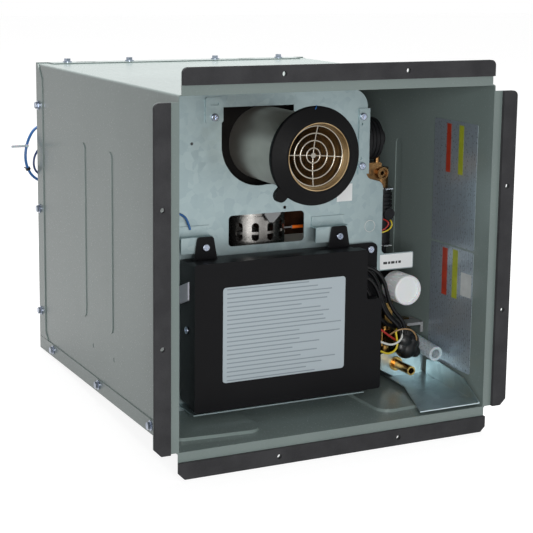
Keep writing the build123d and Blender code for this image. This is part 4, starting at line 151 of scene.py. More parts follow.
def finish(name, light, dark, grain_mm, roughness, relief_mm, metallic=0.0, drift_mm=70.0,
           stretch=(1.0, 1.0, 1.0), extras=None):
    """A named finish with drifting colour, fine grain in its gloss, and a shallow relief.

    The colour drifts between light and dark over drift_mm, and the grain of grain_mm moves the
    roughness between its two values and stands relief_mm high.
    """
    made = bpy.data.materials.new(name)
    made.use_nodes = True
    tree = made.node_tree
    shader = tree.nodes["Principled BSDF"]
    place = add(tree, "TexCoord").outputs["Object"]
    drift = add(tree, "TexNoise", {"Vector": place, "Scale": per_metre(drift_mm), "Detail": 3.0})
    tone = add(tree, "MapRange", {"Value": drift.outputs["Fac"], "From Min": DRIFT_SPAN[0],
                                  "From Max": DRIFT_SPAN[1]})
    colour = add(tree, "Mix", {0: tone.outputs["Result"], 6: linear(light), 7: linear(dark)},
                 data_type="RGBA")
    drawn = add(tree, "Mapping", {"Vector": place, "Scale": stretch})
    grain = add(tree, "TexNoise", {"Vector": drawn.outputs["Vector"], "Scale": per_metre(grain_mm),
                                   "Detail": 4.0})
    gloss = add(tree, "MapRange", {"Value": grain.outputs["Fac"], "From Min": GRAIN_SPAN[0],
                                   "From Max": GRAIN_SPAN[1], "To Min": roughness[0],
                                   "To Max": roughness[1]})
    relief = add(tree, "Bump", {"Height": grain.outputs["Fac"], "Distance": relief_mm / 1000,
                                "Strength": 1.0})
    tree.links.new(colour.outputs[2], shader.inputs["Base Color"])
    tree.links.new(gloss.outputs["Result"], shader.inputs["Roughness"])
    tree.links.new(relief.outputs["Normal"], shader.inputs["Normal"])
    shader.inputs["Metallic"].default_value = metallic
    for key, value in (extras or {}).items():
        shader.inputs[key].default_value = value
    return made


def parts_of(made):
    """The node tree of a material and its shader, for one that needs more than the common build."""
    return made.node_tree, made.node_tree.nodes["Principled BSDF"]


FINISHES = {}
print("finish tool ready")

# %% [markdown]
# The casing is folded steel sheet with a baked grey-green enamel. Baked enamel flows a little
# before it sets, which leaves a faint orange-peel of about a millimetre and a satin gloss. Paint
# is not a metal: its colour is in the coat, and only the thin top layer reflects, more so at a low
# angle, which is why the roof looks almost white in the picture. "Specular IOR Level" is 0.5 for a
# clean, flat surface, and every finish that is dusty, worn or textured has it lower.

# %% Baked enamel on steel sheet
enamel = finish("baked_enamel_grey_green", "#7F8C89", "#798683", 1.4, (0.22, 0.28), 0.004,
                drift_mm=120.0, extras={"IOR": 1.5, "Specular IOR Level": 0.4})
FINISHES["casing_paint"] = enamel
print("made", enamel.name)

# %% [markdown]
# The mounting plate is hot-dip galvanised sheet. The zinc freezes in crystals of several
# millimetres, the spangle, each of which mirrors light at its own angle. A Voronoi pattern gives
# such flat cells, a little noise bends their borders, and each cell gets its own tone and gloss.

# %% Galvanised sheet with its spangle
BORDER_BEND = 0.004  # share of noise in the cells' places, which bends their straight borders


def galvanised(name, light, dark, spangle_mm, roughness):
    """Zinc-coated sheet: crystal cells with their own tone and gloss."""
    made = finish(name, light, dark, 3.0, roughness, 0.004, metallic=1.0, drift_mm=160.0)
    tree, shader = parts_of(made)
    place = add(tree, "TexCoord").outputs["Object"]
    bent = add(tree, "TexNoise", {"Vector": place, "Scale": per_metre(spangle_mm)})
    warped = add(tree, "Mix", {0: BORDER_BEND, 4: place, 5: bent.outputs["Color"]},
                 data_type="VECTOR")
    cells = add(tree, "TexVoronoi", {"Vector": warped.outputs[1], "Scale": per_metre(spangle_mm)})
    tone = add(tree, "SeparateColor", {"Color": cells.outputs["Color"]})
    colour = add(tree, "Mix", {0: tone.outputs["Red"], 6: linear(light), 7: linear(dark)},
                 data_type="RGBA")
    gloss = add(tree, "MapRange", {"Value": tone.outputs["Green"], "To Min": roughness[0],
                                   "To Max": roughness[1]})
    tree.links.new(colour.outputs[2], shader.inputs["Base Color"])
    tree.links.new(gloss.outputs["Result"], shader.inputs["Roughness"])
    return made


FINISHES["galvanised"] = galvanised("galvanised_sheet", "#9CABAD", "#92A2A5", 7.0, (0.42, 0.52))
FINISHES["tray_paint"] = galvanised("galvanised_tray_sheet", "#BCCBCE", "#AFBFC3", 9.0,
                                    (0.34, 0.44))
print("made", FINISHES["galvanised"].name, "and", FINISHES["tray_paint"].name)

# %% [markdown]
# A strip of closed-cell foam sits on each mouth flange and seals the heater to the caravan wall.
# Cut foam shows burst cells, so it is dull and pitted. The real cells are about 0.4 mm, which is
# finer than a pixel here, so they are drawn at about 1.2 mm to keep the pitted look.

# %% Cut closed-cell foam
foam = finish("cut_closed_cell_foam", "#404042", "#363638", 1.2, (0.86, 0.98), 0.25, drift_mm=25.0,
              extras={"IOR": 1.45, "Specular IOR Level": 0.3})
FINISHES["foam"] = foam
print("made", foam.name)

# %% [markdown]
# The control box is a black ABS moulding with an etched mould texture. Black plastic takes nearly
# all of its look from gloss: a satin sheen that is broken by the texture. The white room would
# grey it, so its reflection level is set low, as a deep texture does by trapping light.

# %% Etched black ABS
etched = finish("etched_black_abs", "#121214", "#0E0E10", 0.9, (0.38, 0.52), 0.02, drift_mm=90.0,
                extras={"IOR": 1.53, "Specular IOR Level": 0.1})
FINISHES["box_black"] = etched
print("made", etched.name)

# %% [markdown]
# The rating plate is a satin silver film, printed in grey. The print is left out and plain ruled
# rows take its place. A ruled row needs only the height of a point, cut into equal pitches, and
# each row gets its own length so that the block looks set by hand and not like a grille. The film
# on the right-hand wall is made by the same function with other numbers.

# %% Ruled silver films
SHORTEST_ROW = 0.55  # share of the full length
INK_STRENGTH = 0.55


def ruled_film(name, base, ink, row_axis, along_axis, start, end, pitch_mm, gap_share, metallic,
               roughness):
    """Silver film with plain ruled rows. The rows follow each other on row_axis."""
    made = finish(name, base, base, 2.0, roughness, 0.004, metallic=metallic)
    tree, shader = parts_of(made)
    place = add(tree, "TexCoord").outputs["Object"]
    split = add(tree, "SeparateXYZ", {"Vector": place})
    rows = add(tree, "Math", {0: split.outputs[row_axis], 1: per_metre(pitch_mm)},
               operation="MULTIPLY")
    part = add(tree, "Math", {0: rows.outputs[0]}, operation="FRACT")
    number = add(tree, "Math", {0: rows.outputs[0]}, operation="FLOOR")
    chance = add(tree, "TexWhiteNoise", {"W": number.outputs[0]}, noise_dimensions="1D")
    line = add(tree, "Math", {0: part.outputs[0], 1: gap_share}, operation="GREATER_THAN")
    stop = add(tree, "MapRange", {"Value": chance.outputs["Value"], "To Min": end,
                                  "To Max": start + (end - start) * SHORTEST_ROW})
    after = add(tree, "Math", {0: split.outputs[along_axis], 1: start}, operation="GREATER_THAN")
    before = add(tree, "Math", {0: split.outputs[along_axis], 1: stop.outputs["Result"]},
                 operation="LESS_THAN")
    inside = add(tree, "Math", {0: after.outputs[0], 1: before.outputs[0]}, operation="MULTIPLY")
    inked = add(tree, "Math", {0: line.outputs[0], 1: inside.outputs[0]}, operation="MULTIPLY")
    faint = add(tree, "MapRange", {"Value": inked.outputs[0], "To Max": INK_STRENGTH})
    colour = add(tree, "Mix", {0: faint.outputs["Result"], 6: linear(base), 7: linear(ink)},
                 data_type="RGBA")
    tree.links.new(colour.outputs[2], shader.inputs["Base Color"])
    return made


FINISHES["label_silver"] = ruled_film(
    "satin_silver_film", "#A7B2B8", "#5D676E", row_axis="Z", along_axis="X", start=-0.086,
    end=0.034, pitch_mm=4.1, gap_share=0.72, metallic=0.35, roughness=(0.34, 0.42))
wall_film = ruled_film(
    "metallised_wall_film", "#A4B0BA", "#869099", row_axis="Y", along_axis="Z", start=0.034,
    end=0.264, pitch_mm=3.2, gap_share=0.62, metallic=0.5, roughness=(0.26, 0.32))
print("made", FINISHES["label_silver"].name, "and", wall_film.name)

# %% [markdown]
# The flue is rolled from stainless sheet and brushed round its axis, so its grain is short along
# the tube and long round it. The liner that carries the hot gas has run hot: heat leaves stainless
# steel with a straw to tan tint. The hood behind it is coloured nearly black as painted shade, for
# the dark it stands in behind the mounting plate.

# %% Brushed and heat-tinted stainless
FINISHES["stainless"] = finish("brushed_stainless", "#C6C2BA", "#B0ACA4", 0.6, (0.48, 0.58), 0.002,
                               metallic=1.0, stretch=(0.02, 1.0, 0.02))
straw_steel = finish("straw_tinted_stainless", "#D0B78F", "#AA9069", 0.8, (0.34, 0.44), 0.001,
                     metallic=1.0, stretch=(0.03, 1.0, 0.03), drift_mm=20.0)
guard_steel = finish("drawn_stainless_wire", "#ABA79D", "#97938A", 1.0, (0.22, 0.32), 0.001,
                     metallic=1.0)
FINISHES["burner_steel"] = finish("heat_blued_stainless", "#77736C", "#5E5C66", 1.0, (0.3, 0.45),
                                  0.005, metallic=1.0, drift_mm=18.0)
# painted shade: this near-black colour stands for the shade behind the plate, not for the steel
# itself
hood_steel_painted_shade = finish("stainless_with_painted_shade", "#1D1C1B", "#141313", 1.5, (0.5, 0.65), 0.004,
                    metallic=1.0, drift_mm=35.0)
print("made", straw_steel.name, "and", guard_steel.name)

# %% [markdown]
# Copper, brass and cast alloy are bare metals. Each starts from the metal's own reflection colour
# and gets a slow drift towards its tarnish. Machined brass keeps a low roughness, and a casting
# has a sandy skin of about half a millimetre, drawn a little coarser here. What differs between
# them is a row of numbers, so a table and a loop make them all.

# %% Copper, brass and cast alloy
# slot: name, light, dark, grain mm, roughness from and to, relief mm, drift mm
METALS = {
    "copper": ("drawn_copper", "#CC7F50", "#A0603C", 1.2, (0.22, 0.34), 0.001, 14.0),
    "brass_parts": ("machined_brass", "#BD9659", "#93703F", 0.8, (0.2, 0.28), 0.001, 9.0),
    "cast_alloy": ("cast_aluminium", "#A7A9A9", "#8D9090", 0.9, (0.45, 0.62), 0.04, 30.0),
    "gas_pipe_steel": ("drawn_aluminium_tube", "#B4B6B6", "#A3A5A6", 1.0, (0.28, 0.4), 0.004,
                       70.0),
    "motor_steel": ("nickel_plated_steel", "#8F8D8A", "#767471", 1.0, (0.2, 0.3), 0.001, 12.0),
    "spring_steel": ("spring_steel", "#B9BABC", "#9FA1A4", 1.0, (0.2, 0.32), 0.003, 70.0),
    "screw_steel": ("bright_zinc_plated_steel", "#A9B0BE", "#7F8796", 1.0, (0.16, 0.26), 0.001,
                    6.0),
}


def metal(name, light, dark, grain_mm, roughness, relief_mm, drift_mm):
    """A finish of bare metal."""
    return finish(name, light, dark, grain_mm, roughness, relief_mm, metallic=1.0,
                  drift_mm=drift_mm)


for slot, values in METALS.items():
    FINISHES[slot] = metal(*values)
aged_brass = metal("aged_brass", "#84633F", "#5F472E", 1.2, (0.26, 0.38), 0.002, 7.0)
# the heat exchanger's copper is dark partly from its heat oxide and partly as painted shade, for
# the dark it sits in behind the plate
dark_copper_with_painted_shade = metal("heat_darkened_copper_with_painted_shade", "#5B3B2B", "#33241D", 1.6, (0.45, 0.6), 0.006, 22.0)
print("made", len(METALS), "bare metals and two aged ones")

# %% [markdown]
# The last group is rubbers and plastics. Silicone rubber is dull black with a weak sheen, glazed
# ceramic is glossy, and the white filter cap is polypropylene, which lets some light in, so it has
# a little light scattered under its skin. The clear drain hose is silicone that has gone milky.

# %% Rubbers, plastics and ceramic
# slot: name, light, dark, grain mm, roughness from and to, relief mm, shader settings
NON_METALS = {
    "seal_rubber": ("moulded_silicone_rubber", "#101011", "#0C0C0D", 1.4, (0.42, 0.56), 0.01,
                    {"IOR": 1.41, "Specular IOR Level": 0.12}),
    "ceramic": ("glazed_ceramic", "#E4E1D6", "#DAD6C9", 2.0, (0.12, 0.2), 0.004, {"IOR": 1.6}),
    "fan_plastic": ("black_glass_filled_nylon", "#161618", "#101012", 1.0, (0.42, 0.58), 0.015,
                    {"IOR": 1.53, "Specular IOR Level": 0.2}),
    "clip_grey": ("grey_nylon", "#8A8C8D", "#7E8081", 1.2, (0.4, 0.5), 0.01, {"IOR": 1.53}),
    "cap_white": ("white_polypropylene", "#F4F6F7", "#ECEFF0", 2.0, (0.32, 0.42), 0.006,
                  {"IOR": 1.49, "Subsurface Weight": 0.15, "Subsurface Scale": 0.003}),
    "mesh_white": ("white_acetal", "#DADDDD", "#D2D6D6", 1.5, (0.3, 0.4), 0.006, {"IOR": 1.48}),
    "clear_tube": ("milky_silicone_hose", "#CDD9DE", "#C0CDD3", 2.0, (0.26, 0.30), 0.0002,
                   {"IOR": 1.41, "Transmission Weight": 0.18, "Subsurface Weight": 0.2,
                    "Subsurface Scale": 0.004}),
    "sticker": ("paper_faced_film", "#EEF0F0", "#E6E9E9", 1.6, (0.5, 0.62), 0.003, {"IOR": 1.45}),
    "board": ("green_solder_mask", "#1F6B3A", "#185A30", 1.5, (0.25, 0.4), 0.02, {"IOR": 1.5}),
    "cable_black": ("black_pvc_sheath", "#0E0E10", "#0A0A0C", 2.0, (0.28, 0.42), 0.006,
                    {"IOR": 1.53, "Specular IOR Level": 0.25}),
}
for slot, (name, light, dark, grain_mm, roughness, relief_mm, settings) in NON_METALS.items():
    FINISHES[slot] = finish(name, light, dark, grain_mm, roughness, relief_mm, extras=settings)
print("made", len(NON_METALS), "non-metals,", len(FINISHES), "finishes so far")

# %% [markdown]
# The flat sleeve at the left of the box is braided glass-fibre. Its plait runs at an angle, and
# two crossing sets of waves give that. The real yarns are about 0.7 mm wide, which is about a
# pixel here, so they are drawn twice as wide.

# %% Braided sleeve
YARN_MM = 1.4
YARNS_PER_UNIT = 6.28  # yarns and gaps that a wave texture of scale 1 draws in one unit, nearly
yarn_scale = per_metre(YARN_MM) / YARNS_PER_UNIT
braid = finish("braided_glass_fibre", "#C9CAD2", "#B9BBC4", 1.4, (0.6, 0.75), 0.05,
               extras={"IOR": 1.5})
tree, shader = parts_of(braid)
place = add(tree, "TexCoord").outputs["Object"]
one_way = add(tree, "Mapping", {"Vector": place, "Rotation": (math.radians(45), 0.0, 0.0)})
yarns = [add(tree, "TexWave", {"Vector": one_way.outputs["Vector"], "Scale": yarn_scale},
             bands_direction=direction) for direction in ("Y", "Z")]
plait = add(tree, "Math", {0: yarns[0].outputs["Fac"], 1: yarns[1].outputs["Fac"]},
            operation="MAXIMUM")
raised = add(tree, "Bump", {"Height": plait.outputs[0], "Distance": 0.0002, "Strength": 1.0})
tree.links.new(raised.outputs["Normal"], shader.inputs["Normal"])
FINISHES["sleeve_grey"] = braid
print("made", braid.name)

# %% [markdown]
# Wire insulation is PVC, coloured right through and slightly shiny from the extruder. The short
# wires at the lower right are red, white, yellow and tan, and the leads at the back are blue and
# navy. Only the orange sleeve is silicone, which is duller.

# %% Coloured wire insulation
PVC_COLOURS = {
    "red": ("#B32A22", "#A3241D"),
    "white": ("#DEDEDA", "#D2D2CD"),
    "yellow": ("#D9C22C", "#CBB424"),
    "blue": ("#2566A8", "#1F5A98"),
    "tan": ("#A8885F", "#937550"),
    "navy": ("#233A6B", "#1E3260"),
}
INSULATION = {name: finish(f"{name}_pvc_insulation", light, dark, 2.0, (0.26, 0.38), 0.006)
              for name, (light, dark) in PVC_COLOURS.items()}
INSULATION["orange"] = finish("orange_silicone_insulation", "#FF7A28", "#F56C1C", 2.0, (0.3, 0.42),
                              0.003)
FINISHES["wire_red"] = INSULATION["red"]
FINISHES["lead_blue"] = INSULATION["blue"]
print("made", len(INSULATION), "insulation colours")

# %% [markdown]
# The imported record says which finish each part takes. A loop gives every part that finish, and a
# short list names the few parts that take a finish of their own. Most differ in their real surface;
# the hood is darkened as painted shade, and the heat exchanger partly so.

# %% Give every part its finish
OWN_FINISH = {
    "flue_inner_tube": straw_steel,
    "flue_guard": guard_steel,
    "wall_label": wall_film,
    "exhaust_hood": hood_steel_painted_shade,
    "heat_exchanger_shell": dark_copper_with_painted_shade,
    "outlet_elbow": aged_brass,
}


def dress(piece, made):
    """Replace whatever finish a piece has by this one."""
    piece.data.materials.clear()
    piece.data.materials.append(made)


slot_of = {row["node"]: row["material_slot"] for row in frame["record"]["subparts"]}
for name, slot in slot_of.items():
    dress(NODES[name], OWN_FINISH.get(name, FINISHES[slot]))
print("dressed", len(slot_of), "parts with", len(set(slot_of.values())), "finishes")

# %% [markdown]
# A wire is a thin tube along a smooth line. A NURBS curve with few control points bends like real
# wire, because it rounds every corner by itself, and its bevel makes the tube. The order and the
# end setting only hold once the points are there.

# %% Wire tool
def wire(name, route, radius_mm, made):
    """A round wire along a smooth line with these control points, in metres."""
    curve = bpy.data.curves.new(name, "CURVE")
    curve.dimensions = "3D"
    curve.resolution_u = 10
    curve.bevel_depth = radius_mm / 1000
    curve.bevel_resolution = 4
    curve.use_fill_caps = True
    line = curve.splines.new("NURBS")
    line.points.add(len(route) - 1)
    for point, place in zip(line.points, route):
        point.co = (*place, 1.0)
    line.order_u = 3
    line.use_endpoint_u = True
    curve.materials.append(made)
    piece = bpy.data.objects.new(name, curve)
    bpy.context.scene.collection.objects.link(piece)
    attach(piece, "root")
    return piece


def centreline(piece):
    """The points of a wire's own line, read from the curve without its bevel."""
    bare = piece.copy()
    bare.data = piece.data.copy()
    bare.data.bevel_depth = 0.0
    mesh = bpy.data.meshes.new_from_object(bare)
    points = [vertex.co.copy() for vertex in mesh.vertices]
    bpy.data.objects.remove(bare)
    return points


print("wire tool ready")

# %% [markdown]
# Two leads leave a rubber grommet high on the back, hang in a loop and go in again lower down.
# Their length is what the picture shows from grommet to grommet. They are thin and limp, so the
# loops are round and soft.

# %% Rear leads
LEAD_OUTER_RADIUS_MM = 1.5
LEAD_INNER_RADIUS_MM = 1.2
LEAD_OUTER_ROUTE = (
    (-0.125, 0.1955, 0.236), (-0.125, 0.2065, 0.236), (-0.1335, 0.2155, 0.2395),
    (-0.147, 0.2155, 0.2435), (-0.159, 0.2095, 0.240), (-0.167, 0.2055, 0.229),
    (-0.171, 0.2035, 0.216), (-0.1705, 0.204, 0.203), (-0.165, 0.2055, 0.191),
    (-0.155, 0.2105, 0.183), (-0.143, 0.2155, 0.179), (-0.132, 0.2145, 0.177),
    (-0.125, 0.206, 0.176), (-0.125, 0.1955, 0.176),
)
LEAD_INNER_ROUTE = (
    (-0.118, 0.1955, 0.226), (-0.118, 0.2055, 0.226), (-0.1255, 0.2135, 0.227),
    (-0.138, 0.2145, 0.2245), (-0.150, 0.2095, 0.2215), (-0.159, 0.205, 0.214),
    (-0.1625, 0.203, 0.204), (-0.160, 0.204, 0.194), (-0.151, 0.2085, 0.1885),
    (-0.1395, 0.213, 0.1865), (-0.1275, 0.2135, 0.187), (-0.118, 0.2065, 0.186),
    (-0.118, 0.1955, 0.186),
)
lead_outer = wire("lead_outer_blue", LEAD_OUTER_ROUTE, LEAD_OUTER_RADIUS_MM, INSULATION["blue"])
lead_inner = wire("lead_inner_navy", LEAD_INNER_ROUTE, LEAD_INNER_RADIUS_MM, INSULATION["navy"])
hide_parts("rear_lead_outer")
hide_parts("rear_lead_inner")
print("outer lead follows", len(LEAD_OUTER_ROUTE), "points, inner", len(LEAD_INNER_ROUTE))

# %% [markdown]
# A black tie grips the outer lead low down, with its cut tail sticking out, and a clear tag hangs
# on a ring higher up. They are made where the smooth line really passes, so they sit on the lead.

# %% Tie and tag on the outer lead
def mesh_piece(name, work, made):
    """Turn a bmesh into a piece with a finish. It rides on the casing's body."""
    mesh = bpy.data.meshes.new(name)
    work.to_mesh(mesh)
    work.free()
    mesh.materials.append(made)
    piece = bpy.data.objects.new(name, mesh)
    bpy.context.scene.collection.objects.link(piece)
    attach(piece, "root")
    return piece


def box_into(work, low, high, chamfer=0.0):
    """Add a box between two corners to a bmesh, with its edges eased."""
    size = Vector(high) - Vector(low)
    middle = (Vector(high) + Vector(low)) / 2
    made = bmesh.ops.create_cube(work, size=1.0, matrix=Matrix.LocRotScale(middle, None, size))
    if chamfer > 0:
        edges = list({edge for vertex in made["verts"] for edge in vertex.link_edges})
        bmesh.ops.bevel(work, geom=edges, offset=chamfer, segments=2, affect="EDGES")


def band_into(work, centre, along, inner, outer, width, steps=28):
    """Add a flat ring round a line to a bmesh."""
    side = along.orthogonal().normalized()
    other = along.cross(side).normalized()
    rings = []
    profile = ((inner, -0.5), (outer, -0.5), (outer, 0.5), (inner, 0.5))
    for step in range(steps):
        angle = 2 * math.pi * step / steps
        out = side * math.cos(angle) + other * math.sin(angle)
        rings.append([work.verts.new(centre + out * reach + along * width * share)
                      for reach, share in profile])
    for first, second in zip(rings, rings[1:] + rings[:1]):
        for corner in range(4):
            after = (corner + 1) % 4
            work.faces.new((first[corner], first[after], second[after], second[corner]))
    bmesh.ops.recalc_face_normals(work, faces=work.faces)


def nearest(points, place):
    """The point of a line nearest to a place, and the line's direction there."""
    index = min(range(1, len(points) - 1), key=lambda i: (points[i] - place).length)
    return points[index], (points[index + 1] - points[index - 1]).normalized()


RING_INNER = 0.0016
RING_WIDTH = 0.0026


def ring_on_lead(spot, outer, flap_low, flap_high, chamfer):
    """A bmesh of a ring round the outer lead near a spot, with a flat flap beside it."""
    place, along = nearest(outer_line, Vector(spot))
    work = bmesh.new()
    band_into(work, place, along, RING_INNER, outer, RING_WIDTH)
    box_into(work, place + Vector(flap_low), place + Vector(flap_high), chamfer)
    return work


outer_line = centreline(lead_outer)
work = ring_on_lead((-0.1678, 0.2045, 0.197), outer=0.0027, flap_low=(-0.0013, 0.0018, -0.0005),
                    flap_high=(0.0013, 0.0112, 0.0005), chamfer=0.0002)
tie = mesh_piece("lead_tie_black", work, FINISHES["cable_black"])
work = ring_on_lead((-0.169, 0.2045, 0.2225), outer=0.0023, flap_low=(-0.0168, -0.00025, -0.0013),
                    flap_high=(-0.0018, 0.00025, 0.0013), chamfer=0.0001)
tag = mesh_piece("lead_tag_clear", work, FINISHES["clear_tube"])
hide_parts("lead_ties")
print("tie and tag sit on a line of", len(outer_line), "points")

# %% [markdown]
# Inside, four black cables run from the window of the control box to a taped bundle, and thin
# coloured wires loop out of it. Both ends of each are held, so they are drawn whole like the leads.
# Two thinner wires come down under the dome of the flow sensor, and the sensing rod beside the
# motor has a thin orange silicone sleeve.

# %% Cables and wires at the lower right
CABLE_RADIUS_MM = 2.0
WIRE_RADIUS_MM = 1.1
TAN_RADIUS_MM = 0.8
SENSOR_RADIUS_MM = 0.7
SLEEVE_RADIUS_MM = 1.7
CABLE_ROUTES = (
    ((0.058, -0.1135, 0.131), (0.070, -0.114, 0.1315), (0.082, -0.1145, 0.127),
     (0.091, -0.1145, 0.117), (0.096, -0.113, 0.105), (0.1005, -0.111, 0.093),
     (0.107, -0.1105, 0.082), (0.115, -0.111, 0.074), (0.1195, -0.1115, 0.065),
     (0.120, -0.1115, 0.057)),
    ((0.058, -0.1065, 0.131), (0.070, -0.106, 0.130), (0.082, -0.1065, 0.1235),
     (0.0895, -0.106, 0.113), (0.094, -0.1055, 0.101), (0.098, -0.105, 0.089),
     (0.104, -0.105, 0.078), (0.112, -0.1055, 0.070), (0.118, -0.106, 0.0635),
     (0.119, -0.106, 0.057)),
    ((0.058, -0.113, 0.121), (0.068, -0.1135, 0.1215), (0.077, -0.114, 0.1175),
     (0.0845, -0.1135, 0.108), (0.089, -0.1125, 0.097), (0.094, -0.1115, 0.086),
     (0.101, -0.111, 0.0765), (0.109, -0.112, 0.0695), (0.1145, -0.112, 0.062),
     (0.115, -0.1115, 0.054)),
    ((0.058, -0.105, 0.114), (0.067, -0.105, 0.114), (0.076, -0.1045, 0.109),
     (0.082, -0.1045, 0.099), (0.087, -0.104, 0.088), (0.093, -0.1035, 0.0775),
     (0.101, -0.102, 0.069), (0.110, -0.101, 0.0645), (0.1195, -0.101, 0.064),
     (0.122, -0.101, 0.057)),
)
WIRE_ROUTES = {
    "white": ((0.120, -0.1075, 0.0625), (0.1155, -0.1115, 0.0605), (0.1150, -0.1140, 0.0555),
              (0.1116, -0.1150, 0.0525), (0.1068, -0.1155, 0.0503), (0.1012, -0.1155, 0.0497),
              (0.0956, -0.1150, 0.0512), (0.0905, -0.1135, 0.0535), (0.078, -0.1095, 0.0575)),
    "yellow": ((0.115, -0.1085, 0.0655), (0.1090, -0.1110, 0.0625), (0.1095, -0.1120, 0.0569),
               (0.1106, -0.1120, 0.0519), (0.1107, -0.1125, 0.0470), (0.1079, -0.1130, 0.0424),
               (0.1029, -0.1130, 0.0403), (0.0975, -0.1130, 0.0404), (0.0925, -0.1125, 0.0435),
               (0.078, -0.1095, 0.0475)),
    "red": ((0.1145, -0.1075, 0.0495), (0.1085, -0.1105, 0.0533), (0.1024, -0.1125, 0.0571),
            (0.0974, -0.1130, 0.0607), (0.0925, -0.1125, 0.0646), (0.078, -0.1095, 0.0735)),
}
TAN_ROUTE = (at(102.5, 82.0, 58.5), at(105.5, 77.0, 63.2), at(110.8, 74.5, 65.2),
             at(117.3, 72.6, 65.3), at(123.2, 72.4, 62.9), at(128.6, 73.4, 56.5),
             at(131.0, 77.0, 51.5))
SENSOR_ROUTES = {
    "yellow": (at(120.2, 117.5, 168.5), at(121.2, 113.6, 166.0), at(121.0, 113.0, 161.6),
               at(117.5, 113.0, 158.0), at(111.5, 114.0, 155.6), at(106.0, 118.0, 154.4)),
    "red": (at(113.4, 117.5, 168.5), at(116.8, 113.6, 166.6), at(117.0, 113.0, 163.6),
            at(114.6, 113.0, 160.6), at(111.2, 114.0, 157.9), at(106.0, 118.0, 156.0)),
}
SENSE_ROD_ROUTE = (at(18.4, 134.0, 164.7), at(25.0, 134.0, 164.7), at(32.9, 134.0, 164.7))
for number, route in enumerate(CABLE_ROUTES, 1):
    cable = wire(f"box_cable_{number}", route, CABLE_RADIUS_MM, FINISHES["cable_black"])
    if number == 1:
        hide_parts("cable_bundle")
for colour, route in WIRE_ROUTES.items():
    thin = wire(f"thin_wire_{colour}", route, WIRE_RADIUS_MM, INSULATION[colour])
    if colour == "red":
        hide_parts("coloured_wires")
wire("thin_wire_tan", TAN_ROUTE, TAN_RADIUS_MM, INSULATION["tan"])
for colour, route in SENSOR_ROUTES.items():
    wire(f"sensor_wire_{colour}", route, SENSOR_RADIUS_MM, INSULATION[colour])
wire("sense_rod_sleeve", SENSE_ROD_ROUTE, SLEEVE_RADIUS_MM, INSULATION["orange"])
print("drew", len(CABLE_ROUTES), "cables and", len(WIRE_ROUTES) + len(SENSOR_ROUTES) + 1, "wires")

# %% [markdown]
# The bundle is the cables' joints wound over with black tape. Tape pulled round a clump of joints
# makes a lumpy bag, so a few balls of different sizes are laid where the lumps show, fused into
# one skin and eased. The fusing grid is 0.9 mm, finer than the lumps by far.

# %% Taped bundle
FUSE_GRID = 0.0009
wound_tape = finish("wound_pvc_tape", "#121213", "#0B0B0C", 5.0, (0.25, 0.42), 0.5, drift_mm=12.0,
                    extras={"IOR": 1.53, "Specular IOR Level": 0.3})
# the middle and the radius of each lump, in drawing millimetres
LUMPS = (((120.8, 86.0, 51.0), 9.6), ((129.0, 86.5, 49.0), 9.4), ((125.0, 87.0, 41.5), 11.0),
         ((117.6, 85.0, 43.5), 7.4), ((134.2, 85.0, 37.2), 6.0), ((124.0, 84.5, 57.0), 6.4),
         ((135.0, 87.0, 45.0), 5.6))
work = bmesh.new()
for (x, depth, z), reach in LUMPS:
    bmesh.ops.create_icosphere(work, subdivisions=3, radius=reach / 1000,
                               matrix=Matrix.Translation(at(x, depth, z)))
bundle = mesh_piece("taped_bundle_wrap", work, wound_tape)
fuse = bundle.modifiers.new("fuse", "REMESH")
fuse.mode = "VOXEL"
fuse.voxel_size = FUSE_GRID
fuse.use_smooth_shade = True
ease = bundle.modifiers.new("ease", "SMOOTH")
ease.iterations = 3
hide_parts("taped_bundle")
print("fused", len(LUMPS), "lumps")

# %% [markdown]
# Colour bars are printed on the wall film and stand in for its headings. A print has almost no
# thickness, so each bar is a thin plate that lies on the film.

# %% Printed bars on the wall film
def printed(name, light, dark):
    """Flat ink on film."""
    return finish(name, light, dark, 1.2, (0.4, 0.5), 0.003, drift_mm=8.0)


INKS = {
    "orange": printed("orange_print", "#B23A22", "#A0321D"),
    "lime": printed("yellow_green_print", "#A9AE2A", "#9CA424"),
    "white": printed("white_print", "#C9CCCB", "#BEC2C1"),
    "dark": printed("dark_print", "#2B2D2F", "#232527"),
}
FILM_FACE = 158.7
PRINT_MM = 0.08
# ink, nearest and farthest depth, lowest and highest place, in drawing millimetres
BARS = {
    "upper_orange_bar": ("orange", 68.5, 76.0, 220.0, 268.0),
    "upper_lime_bar": ("lime", 47.0, 55.0, 220.0, 268.0),
    "lower_orange_bar": ("orange", 68.0, 77.0, 96.5, 144.0),
    "lower_lime_bar": ("lime", 50.0, 59.0, 96.5, 145.0),
    "lower_white_patch": ("white", 26.0, 44.0, 102.0, 125.0),
}
for name, (ink, near, far, low, high) in BARS.items():
    work = bmesh.new()
    box_into(work, at(FILM_FACE - PRINT_MM, near, low), at(FILM_FACE, far, high))
    mesh_piece(name, work, INKS[ink])
print("printed", len(BARS), "bars")

# %% [markdown]
# The arm's sticker carries a row of small dark marks, and the plate has a round stamp and a dot of
# ink. All are plain: dashes of different lengths, a bare ring and a filled one. The seal ring has a
# blue tick of marking ink.

# %% Marks on the arm and the stamp on the plate
ARM_STICKER_FACE = 99.85
PLATE_FACE = 100.0
TICK_RADIUS_MM = 0.5
DASH_LOW = 126.2
DASH_HIGH = 128.6
# where each dash starts and how long it is, in drawing millimetres
DASHES = ((104.0, 4.4), (109.4, 2.6), (113.0, 4.0), (118.2, 2.0), (121.4, 3.0))
work = bmesh.new()
for start, length in DASHES:
    box_into(work, at(start, ARM_STICKER_FACE - PRINT_MM, DASH_LOW),
             at(start + length, ARM_STICKER_FACE, DASH_HIGH))
mesh_piece("arm_sticker_marks", work, INKS["dark"])
